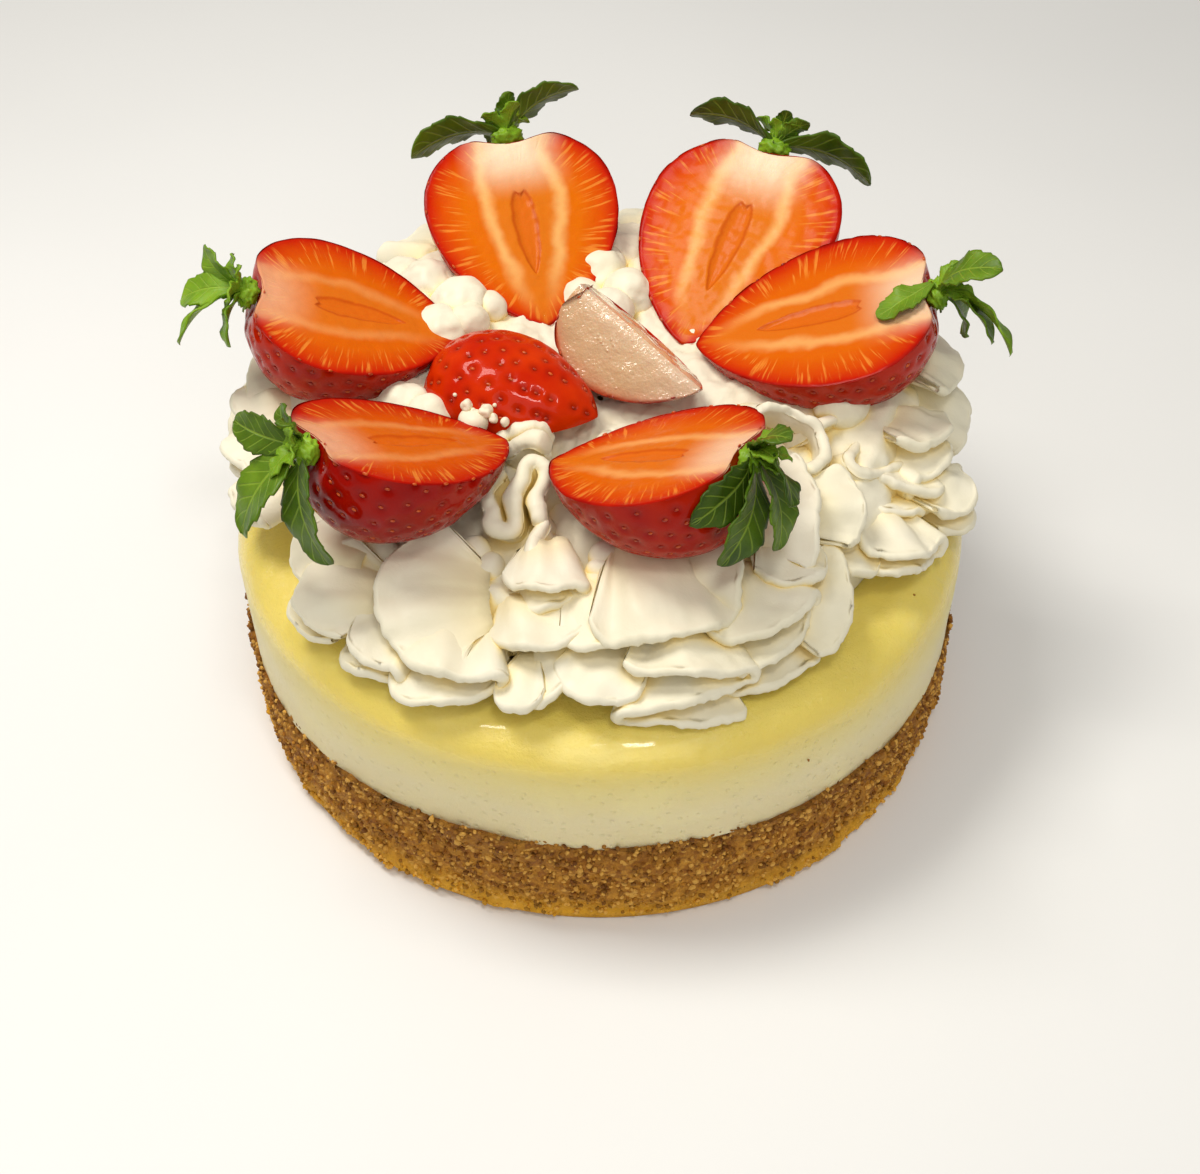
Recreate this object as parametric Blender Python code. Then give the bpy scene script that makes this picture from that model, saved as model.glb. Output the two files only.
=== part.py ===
"""Strawberry cheesecake, 152 mm (6 in) across.

A pressed crumb crust carries a baked filling with a soft rounded top edge. A wreath of piped
cream folds stands on the filling, and six strawberry halves lie in it with their cut faces up,
their tips to the middle and their green calyxes on. A small half with its skin up and a long
wedge with its ridge up fill the middle. X is right, Y is back, Z is up, and the origin is at the
middle of the flat underside.
"""

import math
import random
from typing import NamedTuple

import bmesh
import bpy
from mathutils import Matrix, Vector

MM = 0.001
GAP = 0.35 * MM
UP = Vector((0, 0, 1))
FLAT_WITHIN = math.radians(0.8)
SHARP_FROM = math.radians(40)

# Cake: radii and heights
CRUST_RADIUS = 76 * MM
CRUST_HEIGHT = 23.2 * MM
CRUST_CHAMFER = 1.5 * MM
CRUST_SIDE_ROWS = 5
CRAG_DEPTH = 0.55 * MM
SEAM_WAVE = 1.1 * MM
SEAM_FLAT_RADIUS = 68 * MM
FILLING_RADIUS = 75 * MM
FILLING_TOP = 49.5 * MM
SHOULDER_RADIUS = 9 * MM
SHOULDER_DROP = 7.5 * MM
SHOULDER_STEPS = 4
CAKE_SEGMENTS = 50

# Strawberries
BERRY_DIMPLE = 2.6 * MM
BERRY_WIDEST = 0.32
SHOULDER_FULLNESS = 0.82
TIP_TAPER = 1.55
SHOULDER_RINGS = 5
TIP_RINGS = 6
SKIN_POINTS = 10

# Calyx leaves
LEAF_THICKNESS = 0.8 * MM
LEAF_WIDTH = 0.46
LEAF_FOLD = 0.22
LEAF_CLEARANCE = 1.3 * MM
LEAF_STATIONS = (0.0, 0.5, 1.0)
LEAF_ARCH = 0.14
LEAF_ROOT_WIDTH = 0.16
LEAF_TIP_WIDTH = 0.05
LEAF_BELLY = 0.12
LEAF_ROUNDNESS = 0.85
LEAF_TWIST = 0.4
LEAF_WAVES = 6
HUB_RADIUS = 3.9 * MM
HUB_SHAPE = (0.62, 1, 0.75)
HUB_SEGMENTS, HUB_RINGS = 6, 4
HUB_CENTRE = (-2.5 * MM, 0, -2.0 * MM)
LEAF_ROOT = (-2.6 * MM, 0, -1.2 * MM)

# Cream
CREAM_BASE = FILLING_TOP + GAP
CORE_RADIUS = 64 * MM
CORE_FRONT_RADIUS = 57 * MM
CORE_FRONT_TOP = 63 * MM
CORE_TOP = 70 * MM
CORE_RIM = 74 * MM
CORE_RINGS = (1.0, 0.9, 0.72, 0.48)
CORE_SEGMENTS = 28
CORE_RIM_PART = 0.8
CORE_EDGE_PART = 0.9
CORE_EDGE_DROP = 6 * MM
CORE_FRONT_SPREAD = 0.6
RIBBON_RIM = 2.4 * MM
RIBBON_ROOT = 2.8 * MM
RIBBON_STATIONS = (0.0, 0.85)
RIBBON_BEND = math.radians(34)
RIBBON_CORNER = 3.4 * MM
ROOT_SHARE = 0.45
ROUND_SHARE = 0.6
FOLD_DEPTH = 15 * MM
CAMBER_SHARE = 0.22
FULL_CORNER_SWEEP = 60
FRILL_STOUTNESS = 1.4
LOOP_STEPS = 6
LOOP_END_DROP = 1.8 * MM
SINGLE_STEPS = (-1.0, -0.6, 0.0, 0.6, 1.0)
PASS_STEPS = (-1.0, 0.0, 1.0)
FRONT_DEGREES = 270
FRONT_SLOPE = math.radians(29)
LUMP_HEIGHT = 0.85


class Berry(NamedTuple):
    """A cut strawberry: its calyx end, its tip, its width, and the turn of its cut face."""

    name: str
    calyx: tuple
    tip: tuple
    width: float
    depth: float
    roll: float


class Leaf(NamedTuple):
    """A calyx leaf: degrees round the berry's axis, degrees back from it, and length in mm."""

    clock: float
    lift: float
    length: float


class Fold(NamedTuple):
    """A ribbon of cream laid to and fro in arcs, each pass lower and a little further out.

    It has the middle of the first pass's free edge in mm, the degrees it heads round the cake
    and lifts from the slope, the number of passes, their half width and pitch, how much further
    out each reaches, how deep the first sheet runs in, and the degrees its edge curves through.
    """

    place: tuple
    heading: float
    lift: float
    passes: int
    half: float
    pitch: float
    advance: float
    sheet: float
    sweep: float


class Frill(NamedTuple):
    """A ribbon whose passes run down the slope of the cream.

    It has the middle of the first pass's free edge in mm, the heading and the fall of the
    passes in degrees, their number, half length and spacing to the right, the lean of the
    ribbon, where 90 stands straight up from the slope and 0 lies flat on it, its depth, and
    the degrees that each pass curves through.
    """

    place: tuple
    heading: float
    fall: float
    passes: int
    half: float
    spacing: float
    lean: float
    depth: float
    sweep: float


class Loop(NamedTuple):
    """A ribbon that stands on the slope, its free edge on a stretch of an ellipse.

    It has the middle of the ellipse in mm, the degrees its long half heads round the cake, its
    half length and half width, the degrees where the stretch starts and ends, and how deep the
    ribbon goes down into the cream.
    """

    place: tuple
    heading: float
    length: float
    width: float
    first: float
    last: float
    depth: float


class SideFold(NamedTuple):
    """A tall fold, by the radius and height of the free edges of its first and last passes."""

    angle: float
    first: tuple
    last: tuple
    half: float
    lean: float


class Ribbon(NamedTuple):
    """A fold as it is built, in metres, with the directions of its width, its edge and its top.

    Stout is how thick it is beside the other ribbons.
    """

    start: Vector
    lateral: Vector
    face: Vector
    normal: Vector
    passes: int
    half: float
    pitch: float
    advance: float
    sheet: float
    sweep: float
    stout: float = 1.0


BERRIES = (
    Berry("strawberry_back_left", (-19.2, 57.3, 93), (-10.9, 22.4, 71), 41, 19, 0),
    Berry("strawberry_back_right", (35.5, 53, 93), (16.8, 16, 71), 42, 19, 0),
    Berry("strawberry_right", (62, 8, 90), (19.3, 12, 74), 41, 19, 7),
    Berry("strawberry_left", (-65.4, 10, 89), (-28.5, 15, 74), 41, 19, 3),
    Berry("strawberry_front_left", (-48.6, -37, 90), (-17.4, -19, 75), 37, 18.5, -9),
    Berry("strawberry_front_right", (23.6, -39.6, 90), (-9, -25, 75), 39, 18.5, -9),
)
LEAVES = {
    "strawberry_back_left": (Leaf(22, 17, 18), Leaf(188, -3, 21), Leaf(75, 50, 9), Leaf(265, 20, 13)),
    "strawberry_back_right": (
        Leaf(161, -3, 19), Leaf(344, 1, 22), Leaf(30, 35, 9), Leaf(75, 45, 8), Leaf(250, 25, 13),
    ),
    "strawberry_right": (
        Leaf(47, 55, 16), Leaf(300, 32, 15), Leaf(322, 36, 19), Leaf(262, 8, 15), Leaf(8, -62, 13),
    ),
    "strawberry_left": (Leaf(17, 50, 12), Leaf(293, 47, 15), Leaf(238, 38, 17), Leaf(205, 8, 13)),
    "strawberry_front_left": (
        Leaf(359, 35, 14), Leaf(30, 11, 9), Leaf(279, 20, 20), Leaf(236, -8, 21), Leaf(75, 55, 7),
    ),
    "strawberry_front_right": (
        Leaf(345, -20, 17), Leaf(314, -12, 20), Leaf(290, 10, 17), Leaf(326, 42, 14), Leaf(45, 59, 12),
    ),
}
MIDDLE_DOME = Berry("strawberry_middle_red", (-30.5, 4.5, 70), (-0.5, -10.5, 73.5), 27, 12, 180)
MIDDLE_WEDGE = Berry("strawberry_middle_pale", (-2.5, 11.8, 88), (19.6, -8.6, 79), 30, 15, 0)
WEDGE_HALF_ANGLE = 46

# The folds that show at the front and the sides, left to right
FRONT_FOLDS = (
    Fold((-39.4, -50.0, 60.0), 186, 4, 1, 15.0, 3.3, 0.0, 20, 140),
    Fold((-54.8, -41.4, 57.5), 172, 4, 1, 10.0, 3.3, 0.0, 17, 130),
    Fold((-56.0, -33.0, 60.0), 160, 4, 1, 8.0, 3.3, 0.0, 14, 110),
    Fold((-56.4, -45.5, 52.6), 190, 0, 1, 6.0, 3.3, 0.0, 11, 130),
    Fold((-44.0, -56.5, 55.0), 222, 8, 2, 7.0, 4.1, 2.5, 14, 110),
    Fold((-29.0, -63.5, 57.0), 255, 6, 2, 10.0, 4.1, 4.5, 16, 80),
    Fold((-15.0, -68.2, 53.0), 258, 0, 1, 5.0, 3.3, 0.0, 12, 90),
    Fold((-9.3, -60.0, 60.5), 292, 6, 2, 8.0, 4.1, 7.0, 14, 70),
    Fold((-10.8, -51.5, 66.0), 271, 8, 2, 6.5, 4.1, 3.0, 12, 50),
    Fold((1.0, -60.5, 61.0), 286, 4, 1, 7.0, 3.3, 0.0, 17, 60),
    Fold((0.0, -68.0, 53.8), 268, 0, 1, 8.5, 3.3, 0.0, 15, 110),
    Fold((13.1, -60.5, 62.5), 283, 4, 1, 14.0, 3.3, 0.0, 24, 60),
    Fold((15.6, -65.5, 58.6), 281, 8, 3, 11.0, 4.1, 3.2, 16, 36),
    Fold((30.8, -56.5, 61.0), 306, 8, 3, 10.5, 4.1, 3.6, 16, 60),
    Fold((25.5, -45.0, 68.0), 3, 16, 1, 11.0, 3.3, 0.0, 13, 40),
    Fold((39.2, -33.5, 69.5), 2, 12, 1, 12.0, 3.3, 0.0, 13, 24),
    Fold((48.0, -28.5, 66.5), 8, 8, 1, 8.5, 3.3, 0.0, 13, 40),
    Fold((36.7, -46.5, 63.0), 300, 6, 1, 7.5, 3.3, 0.0, 13, 80),
    Fold((45.5, -46.0, 57.8), 352, 4, 1, 11.5, 3.3, 0.0, 13, 50),
    Fold((57.5, -35.0, 57.4), 291, 4, 2, 10.0, 4.1, 1.2, 16, 90),
    Fold((48.5, -39.0, 57.0), 285, 0, 1, 5.0, 3.3, 0.0, 12, 60),
    Fold((60.0, -21.0, 61.5), 290, 8, 2, 10.0, 4.1, 3.0, 14, 90),
    Fold((67.0, -10.0, 66.0), 335, 8, 3, 9.0, 4.1, 3.0, 14, 90),
    Fold((73.0, -17.0, 57.0), 350, 6, 2, 7.0, 4.1, 2.0, 16, 110),
    Fold((-73.0, 2.0, 65.0), 178, 4, 2, 6.5, 4.1, 1.0, 15, 130),
    Fold((-73.5, -9.0, 62.0), 188, 4, 2, 6.0, 4.1, 1.0, 15, 130),
    Fold((-71.5, -19.5, 58.5), 200, 4, 2, 6.0, 4.1, 1.0, 15, 130),
)
# The ribbons that stand or lie on top of the cream between the strawberries
FRILLS = (
    Frill((-18.9, -31, 73.0), 262, 22, 3, 5.6, 4.5, 80, 9, 30),
    Frill((-9.8, -43, 68.5), 264, 26, 1, 8.0, 4, 80, 9, 30),
    Frill((-13.5, -16.5, 75.6), 178, 6, 2, 4.2, 4.4, 62, 8, 110),
    Frill((5.0, -20, 72.5), 250, 8, 1, 6.0, 4, 30, 10, 60),
)
# The ribbons that stand in bends on the right side
LOOPS = (
    Loop((35.0, -19.5, 76.2), 10, 9.5, 8.0, 115, -70, 9),
    Loop((56.5, -11.0, 66.5), 220, 13.0, 5.0, -150, 100, 9),
    Loop((51.5, -7.5, 70.0), 30, 12.0, 3.0, 170, 25, 8),
)
# Place and radius in mm of the soft lumps in the hollows between the strawberries
LUMPS = (
    ((-36, 34, 72), 7.0), ((-29, 27, 73), 6.5), ((-26, 34, 72), 6.0), ((-33, 18, 72), 6.5),
    ((-39, 26, 71), 6.0), ((-27, 20, 73.5), 4.5), ((-42, 39, 69), 7.0), ((-23, 26, 73), 4.0),
    ((0, 38, 73), 6.5), ((6, 31, 73), 6.0), ((2, 24, 74), 5.0), ((10, 38, 71), 6.0),
    ((-4, 31, 72), 5.0), ((4, 46, 71), 7.0), ((-38, -5, 71.5), 5.5), ((-33, -9.5, 73), 4.5),
    ((-43, -12, 70), 5.0), ((-24, -13, 74.5), 3.0), ((47, -4, 72), 6.0), ((42, 40, 70), 8.0),
)
# The folds round the sides and the back, which stand taller
BACK_FROM, BACK_TO, BACK_FOLDS = 9, 169, 8
BACK_FIRST = (71, 66)
BACK_LAST = (76, 53)
BACK_PASSES = 3
BACK_HALF = 10.5
BACK_SHEET = 15
BACK_JITTER = 1.5
BACK_LEAN = 9
BACK_SEED = 1
BACK_SWEEP = 70
BACK_PITCH = 4.6 * MM


def clear_scene():
    for obj in list(bpy.data.objects):
        bpy.data.objects.remove(obj, do_unlink=True)


def principled(name, color, roughness, subsurface=0.0):
    material = bpy.data.materials.new(name)
    material.use_nodes = True
    shader = material.node_tree.nodes["Principled BSDF"]
    shader.inputs["Base Color"].default_value = (*color, 1)
    shader.inputs["Roughness"].default_value = roughness
    shader.inputs["Metallic"].default_value = 0
    shader.inputs["Subsurface Weight"].default_value = subsurface
    material.diffuse_color = (*color, 1)
    return material


def object_from(bm, name, material=None):
    """A new object from a bmesh, its faces made triangles that point outwards."""
    bmesh.ops.triangulate(bm, faces=bm.faces[:], ngon_method="EAR_CLIP")
    bmesh.ops.recalc_face_normals(bm, faces=bm.faces[:])
    if bm.calc_volume(signed=True) < 0:
        bmesh.ops.reverse_faces(bm, faces=bm.faces[:])
    mesh = bpy.data.meshes.new(name)
    bm.to_mesh(mesh)
    bm.free()
    if material:
        mesh.materials.append(material)
        mesh.shade_smooth()
        mesh.set_sharp_from_angle(angle=SHARP_FROM)
    obj = bpy.data.objects.new(name, mesh)
    bpy.context.scene.collection.objects.link(obj)
    return obj


def loft(rings):
    """A closed body through rings of equal length. A ring of one point is a pole."""
    bm = bmesh.new()
    rows = [[bm.verts.new(point) for point in ring] for ring in rings]
    for first, second in zip(rows, rows[1:]):
        count = max(len(first), len(second))
        for i in range(count):
            j = (i + 1) % count
            if len(first) == 1:
                bm.faces.new((first[0], second[j], second[i]))
            elif len(second) == 1:
                bm.faces.new((first[i], first[j], second[0]))
            else:
                bm.faces.new((first[i], first[j], second[j], second[i]))
    for row in (rows[0], rows[-1]):
        if len(row) > 1:
            bm.faces.new(row)
    return bm


def ring(radius_at, height_at):
    """One closed ring round the cake, from a radius and a height that depend on the angle."""
    turns = [math.tau * i / CAKE_SEGMENTS for i in range(CAKE_SEGMENTS)]
    return [(radius_at(t) * math.cos(t), radius_at(t) * math.sin(t), height_at(t)) for t in turns]


def seam_height(turn):
    """The uneven line between crust and filling."""
    wave = math.sin(3 * turn + 0.6) + 0.7 * math.sin(7 * turn + 2.1) + 0.5 * math.sin(13 * turn)
    return CRUST_HEIGHT + SEAM_WAVE * wave / 2


def crag(turn, level):
    """How far the crumbly crust stands out or in, from a few unrelated waves."""
    coarse = math.sin(11 * turn + 3.1 * level) * math.sin(5 * turn - 1.7 * level)
    fine = math.sin(23 * turn + 9.0 * level + 0.5) * math.cos(17 * turn - 5.0 * level)
    return CRAG_DEPTH * (coarse + fine)


def make_crust(material):
    rings = [
        ring(lambda t: CRUST_RADIUS - CRUST_CHAMFER, lambda t: 0.0),
    ]
    for row in range(CRUST_SIDE_ROWS):
        level = row / (CRUST_SIDE_ROWS - 1)
        low = CRUST_CHAMFER
        rings.append(
            ring(
                lambda t: CRUST_RADIUS - CRAG_DEPTH + crag(t, level),
                lambda t: low + (seam_height(t) - low) * level,
            )
        )
    rings.append(ring(lambda t: SEAM_FLAT_RADIUS, lambda t: CRUST_HEIGHT))
    return object_from(loft(rings), "crust", material)


def filling_profile():
    """(radius, height) up the side, over the soft shoulder and in to the flat top."""
    yield FILLING_RADIUS, FILLING_TOP - SHOULDER_DROP
    for step in range(1, SHOULDER_STEPS + 1):
        angle = math.radians(90 * step / SHOULDER_STEPS)
        yield (
            FILLING_RADIUS - SHOULDER_RADIUS * (1 - math.cos(angle)),
            FILLING_TOP - SHOULDER_DROP * (1 - math.sin(angle)),
        )


def make_filling(material, name="filling", swell_by=0.0):
    rings = [
        ring(lambda t: SEAM_FLAT_RADIUS, lambda t: CRUST_HEIGHT + GAP),
        ring(lambda t: FILLING_RADIUS, lambda t: seam_height(t) + GAP),
    ]
    for radius, height in filling_profile():
        rings.append(ring(lambda t: radius + swell_by, lambda t: height + swell_by))
    return object_from(loft(rings), name, material)


def frame_of(berry):
    """Local X from calyx to tip, Z out of the cut face, as a world matrix."""
    calyx = Vector(berry.calyx) * MM
    axis = (Vector(berry.tip) * MM - calyx).normalized()
    face = (UP - UP.dot(axis) * axis).normalized()
    side = face.cross(axis)
    towards_front = 1 if side.y > 0 else -1
    turn = Matrix.Rotation(math.radians(berry.roll) * towards_front, 3, axis)
    face = turn @ face
    side = face.cross(axis)
    matrix = Matrix((axis, side, face)).transposed().to_4x4()
    matrix.translation = calyx
    return matrix


def length_of(berry):
    return (Vector(berry.tip) - Vector(berry.calyx)).length * MM


def half_width(berry, angle, at_tip):
    """(place along the axis, half width) of a strawberry's outline."""
    length = length_of(berry)
    half = berry.width * MM / 2
    widest = BERRY_WIDEST * length
    if at_tip:
        place = widest + (length - widest) * math.sin(angle)
        return place, half * math.cos(angle) ** TIP_TAPER
    width = half * math.sin(angle) ** SHOULDER_FULLNESS
    place = -BERRY_DIMPLE + (widest + BERRY_DIMPLE) * (1 - math.cos(angle))
    near_stem = max(0.0, 1 - (width / (0.5 * half)) ** 2)
    return place + BERRY_DIMPLE * near_stem**2, width


def outline_of(berry):
    """The outline from the calyx pole to the tip pole."""
    points = [(0.0, 0.0)]
    for step in range(1, SHOULDER_RINGS + 1):
        points.append(half_width(berry, math.radians(90 * step / SHOULDER_RINGS), False))
    for step in range(1, TIP_RINGS):
        points.append(half_width(berry, math.radians(90 * step / TIP_RINGS), True))
    points.append((length_of(berry), 0.0))
    return points


def make_half(berry, material):
    """A strawberry cut in half lengthwise: a flat heart-shaped face over a rounded body."""
    outline = outline_of(berry)
    deep = berry.depth / (berry.width / 2)
    bm = bmesh.new()
    rows = []
    for place, width in outline[1:-1]:
        arc = [math.pi * i / (SKIN_POINTS - 1) for i in range(SKIN_POINTS)]
        rows.append(
            [bm.verts.new((place, -width * math.cos(a), -width * deep * math.sin(a))) for a in arc]
        )
    stem = bm.verts.new((outline[0][0], 0, 0))
    tip = bm.verts.new((outline[-1][0], 0, 0))
    for first, second in zip(rows, rows[1:]):
        for i in range(SKIN_POINTS - 1):
            bm.faces.new((first[i], first[i + 1], second[i + 1], second[i]))
    for i in range(SKIN_POINTS - 1):
        bm.faces.new((stem, rows[0][i + 1], rows[0][i]))
        bm.faces.new((tip, rows[-1][i], rows[-1][i + 1]))
    left = [row[0] for row in rows]
    right = [row[-1] for row in reversed(rows)]
    bm.faces.new([stem, *left, tip, *right])
    bm.transform(frame_of(berry))
    return object_from(bm, berry.name, material)


def make_wedge(berry, material):
    """A long quarter of a strawberry, its ridge up, so that two cut faces meet along the axis."""
    outline = outline_of(berry)
    rings = [[(outline[0][0], 0, 0)]]
    for place, width in outline[1:-1]:
        points = [(place, 0, 0)]
        for i in range(SKIN_POINTS):
            angle = math.radians(WEDGE_HALF_ANGLE * (2 * i / (SKIN_POINTS - 1) - 1))
            points.append((place, width * math.sin(angle), -width * math.cos(angle)))
        rings.append(points)
    rings.append([(outline[-1][0], 0, 0)])
    bm = loft(rings)
    bm.transform(frame_of(berry))
    return object_from(bm, berry.name, material)


def kept_off(berry, point):
    """A leaf's point, in the berry's own frame, moved out of the berry's body if it is in it."""
    length = length_of(berry)
    widest = BERRY_WIDEST * length
    if point.z > LEAF_CLEARANCE or not -BERRY_DIMPLE < point.x < length:
        return point
    if point.x > widest:
        reach = math.sqrt(max(0.0, 1 - ((point.x - widest) / (length - widest)) ** 2))
    else:
        span = widest + BERRY_DIMPLE
        reach = max(0.0, 1 - ((widest - point.x) / span) ** 2) ** (SHOULDER_FULLNESS / 2)
    clear = reach * berry.width * MM / 2 + LEAF_CLEARANCE
    off_axis = Vector((0, point.y, point.z))
    if off_axis.length >= clear:
        return point
    if point.z > -LEAF_CLEARANCE:
        return Vector((point.x, point.y, LEAF_CLEARANCE))
    return Vector((point.x, 0, 0)) + off_axis.normalized() * clear


def make_leaf(berry, leaf, name):
    """A thin folded leaf from the calyx, both of its faces split into triangles alike."""
    clock, lift = math.radians(leaf.clock), math.radians(leaf.lift)
    along = Vector(
        (-math.sin(lift), math.cos(lift) * math.cos(clock), math.cos(lift) * math.sin(clock))
    )
    outward = Vector((-1, 0, 0)) if abs(along.x) < 0.8 else Vector((0, 0, 1))
    across = along.cross(outward).normalized()
    normal = across.cross(along).normalized()
    length = leaf.length * MM
    root = Vector(LEAF_ROOT)
    arch = LEAF_ARCH * length
    grid = []
    for t in LEAF_STATIONS:
        belly = math.sin(math.pi * min(1.0, LEAF_BELLY + t) ** LEAF_ROUNDNESS)
        half = LEAF_WIDTH * length * (LEAF_ROOT_WIDTH + belly) / 2
        half = max(half, LEAF_TIP_WIDTH * length)
        middle = root + along * (length * t) + normal * (arch * 4 * t * (1 - t))
        row = []
        for s in (-1, 0, 1):
            wave = LEAF_FOLD * half * (abs(s) + LEAF_TWIST * s * math.sin(LEAF_WAVES * t))
            row.append(kept_off(berry, middle + across * (s * half) + normal * wave))
        grid.append(row)
    bm = bmesh.new()
    top = [[bm.verts.new(p + normal * LEAF_THICKNESS / 2) for p in row] for row in grid]
    low = [[bm.verts.new(p - normal * LEAF_THICKNESS / 2) for p in row] for row in grid]
    for i in range(len(grid) - 1):
        for j in range(2):
            for layer in (top, low):
                a, b = layer[i][j], layer[i + 1][j]
                c, d = layer[i + 1][j + 1], layer[i][j + 1]
                bm.faces.new((a, b, c))
                bm.faces.new((a, c, d))
        for j in (0, 2):
            bm.faces.new((top[i][j], top[i + 1][j], low[i + 1][j], low[i][j]))
    for i in (0, -1):
        for j in range(2):
            bm.faces.new((top[i][j], top[i][j + 1], low[i][j + 1], low[i][j]))
    bm.transform(frame_of(berry))
    return object_from(bm, name)


def make_hub(berry, name):
    """The knob that the leaves grow from, in the dimple of the strawberry."""
    bm = bmesh.new()
    bmesh.ops.create_uvsphere(bm, u_segments=HUB_SEGMENTS, v_segments=HUB_RINGS, radius=HUB_RADIUS)
    bmesh.ops.scale(bm, vec=HUB_SHAPE, verts=bm.verts[:])
    bmesh.ops.translate(bm, vec=HUB_CENTRE, verts=bm.verts[:])
    bm.transform(frame_of(berry))
    return object_from(bm, name)


def evaluated_mesh(obj):
    graph = bpy.context.evaluated_depsgraph_get()
    return bpy.data.meshes.new_from_object(obj.evaluated_get(graph))


def keep_largest(mesh):
    """Drops loose scraps and the walls of sealed hollows: only the largest shell stays."""
    bm = bmesh.new()
    bm.from_mesh(mesh)
    bm.faces.ensure_lookup_table()
    unseen = set(bm.faces)
    shells = []
    while unseen:
        shell, edge = set(), [unseen.pop()]
        while edge:
            face = edge.pop()
            shell.add(face)
            for near in {f for e in face.edges for f in e.link_faces} & unseen:
                unseen.discard(near)
                edge.append(near)
        shells.append(shell)
    biggest = max(shells, key=lambda shell: sum(face.calc_area() for face in shell))
    loose = [face for shell in shells if shell is not biggest for face in shell]
    bmesh.ops.delete(bm, geom=loose, context="FACES")
    bm.to_mesh(mesh)
    bm.free()


def merge_flat_faces(mesh):
    """Joins faces that lie in one plane, which cutting has split, and makes them triangles."""
    bm = bmesh.new()
    bm.from_mesh(mesh)
    bmesh.ops.dissolve_limit(bm, angle_limit=FLAT_WITHIN, verts=bm.verts[:], edges=bm.edges[:])
    bmesh.ops.triangulate(bm, faces=bm.faces[:])
    bm.to_mesh(mesh)
    bm.free()


def combine(obj, others, operation):
    """One Boolean of an object with a collection, applied, and the others removed."""
    group = bpy.data.collections.new(obj.name + "_others")
    bpy.context.scene.collection.children.link(group)
    for other in others:
        group.objects.link(other)
    boolean = obj.modifiers.new(operation.lower(), "BOOLEAN")
    boolean.operation = operation
    boolean.operand_type = "COLLECTION"
    boolean.collection = group
    boolean.solver = "MANIFOLD"
    mesh = evaluated_mesh(obj)
    obj.modifiers.clear()
    obj.data = mesh
    keep_largest(mesh)
    for other in others:
        bpy.data.objects.remove(other, do_unlink=True)
    bpy.data.collections.remove(group)


def swollen(obj):
    """A copy whose surface stands out by at least the gap, to cut room for the piece."""
    copy = bpy.data.objects.new(obj.name + "_room", obj.data.copy())
    bpy.context.scene.collection.objects.link(copy)
    bm = bmesh.new()
    bm.from_mesh(copy.data)
    bm.normal_update()
    moves = [(vert, vert.normal * vert.calc_shell_factor() * GAP) for vert in bm.verts]
    for vert, move in moves:
        vert.co += move
    bm.to_mesh(copy.data)
    bm.free()
    return copy


def make_room(obj, neighbours):
    combine(obj, [swollen(neighbour) for neighbour in neighbours], "DIFFERENCE")


def make_calyx(berry, body, material):
    name = berry.name.replace("strawberry", "calyx")
    hub = make_hub(berry, name)
    hub.data.materials.append(material)
    leaves = [
        make_leaf(berry, leaf, f"{name}_leaf_{i}") for i, leaf in enumerate(LEAVES[berry.name])
    ]
    combine(hub, leaves, "UNION")
    make_room(hub, [body])
    merge_flat_faces(hub.data)
    return hub


def ribbon_pass(path, ways_in, normals, stout=1.0):
    """One pass of ribbon from its free edge, and from each point's way in to the root.

    The normals point out of the ribbon's upper side. Behind the free edge the ribbon bends away
    from them, so that its rim droops less.
    """
    sections = []
    for i, (point, way_in, normal) in enumerate(zip(path, ways_in, normals)):
        ahead, behind = path[min(i + 1, len(path) - 1)], path[max(i - 1, 0)]
        tangent = (ahead - behind).normalized()
        back = way_in.normalized()
        upper, lower = [], []
        for station in RIBBON_STATIONS:
            bend = RIBBON_BEND * station
            inward = back * math.cos(bend / 2) - normal * math.sin(bend / 2)
            slope = back * math.cos(bend) - normal * math.sin(bend)
            side = tangent.cross(slope).normalized()
            thick = (RIBBON_RIM + (RIBBON_ROOT - RIBBON_RIM) * station) * stout
            place = point + inward * (way_in.length * station)
            upper.append(place + side * thick / 2)
            lower.append(place - side * thick / 2)
        sections.append([*upper, *reversed(lower)])
    return loft(sections)


def edge_spots(ribbon, k):
    """(sideways, out, up) of the free edge of pass k, with the quarter turns to its neighbours."""
    turn = ribbon.pitch / 2
    swing = math.radians(ribbon.sweep) / 2
    bow = ribbon.half / math.sin(swing)
    quarter = turn * math.pi / 2
    whole = 2 * (ribbon.half + quarter)
    level = -k * ribbon.pitch
    end = bow * (math.cos(swing) - 1)
    reach = (ribbon.half + quarter) / whole
    if k > 0:
        yield -ribbon.half - turn, end + ribbon.advance * (k - reach), level + turn
    for s in SINGLE_STEPS if ribbon.passes == 1 else PASS_STEPS:
        side = bow * math.sin(s * swing)
        out = bow * (math.cos(s * swing) - 1) + ribbon.advance * (k + side / whole)
        if (k == 0 and s == -1) or (k == ribbon.passes - 1 and s == 1):
            corner = min(RIBBON_CORNER, ROUND_SHARE * ribbon.half)
            out -= corner * min(1.0, ribbon.sweep / FULL_CORNER_SWEEP)
        yield side, out, level + CAMBER_SHARE * ribbon.half * math.cos(math.pi * s / 2) ** 2
    if k < ribbon.passes - 1:
        yield ribbon.half + turn, end + ribbon.advance * (k + reach), level - turn


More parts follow.
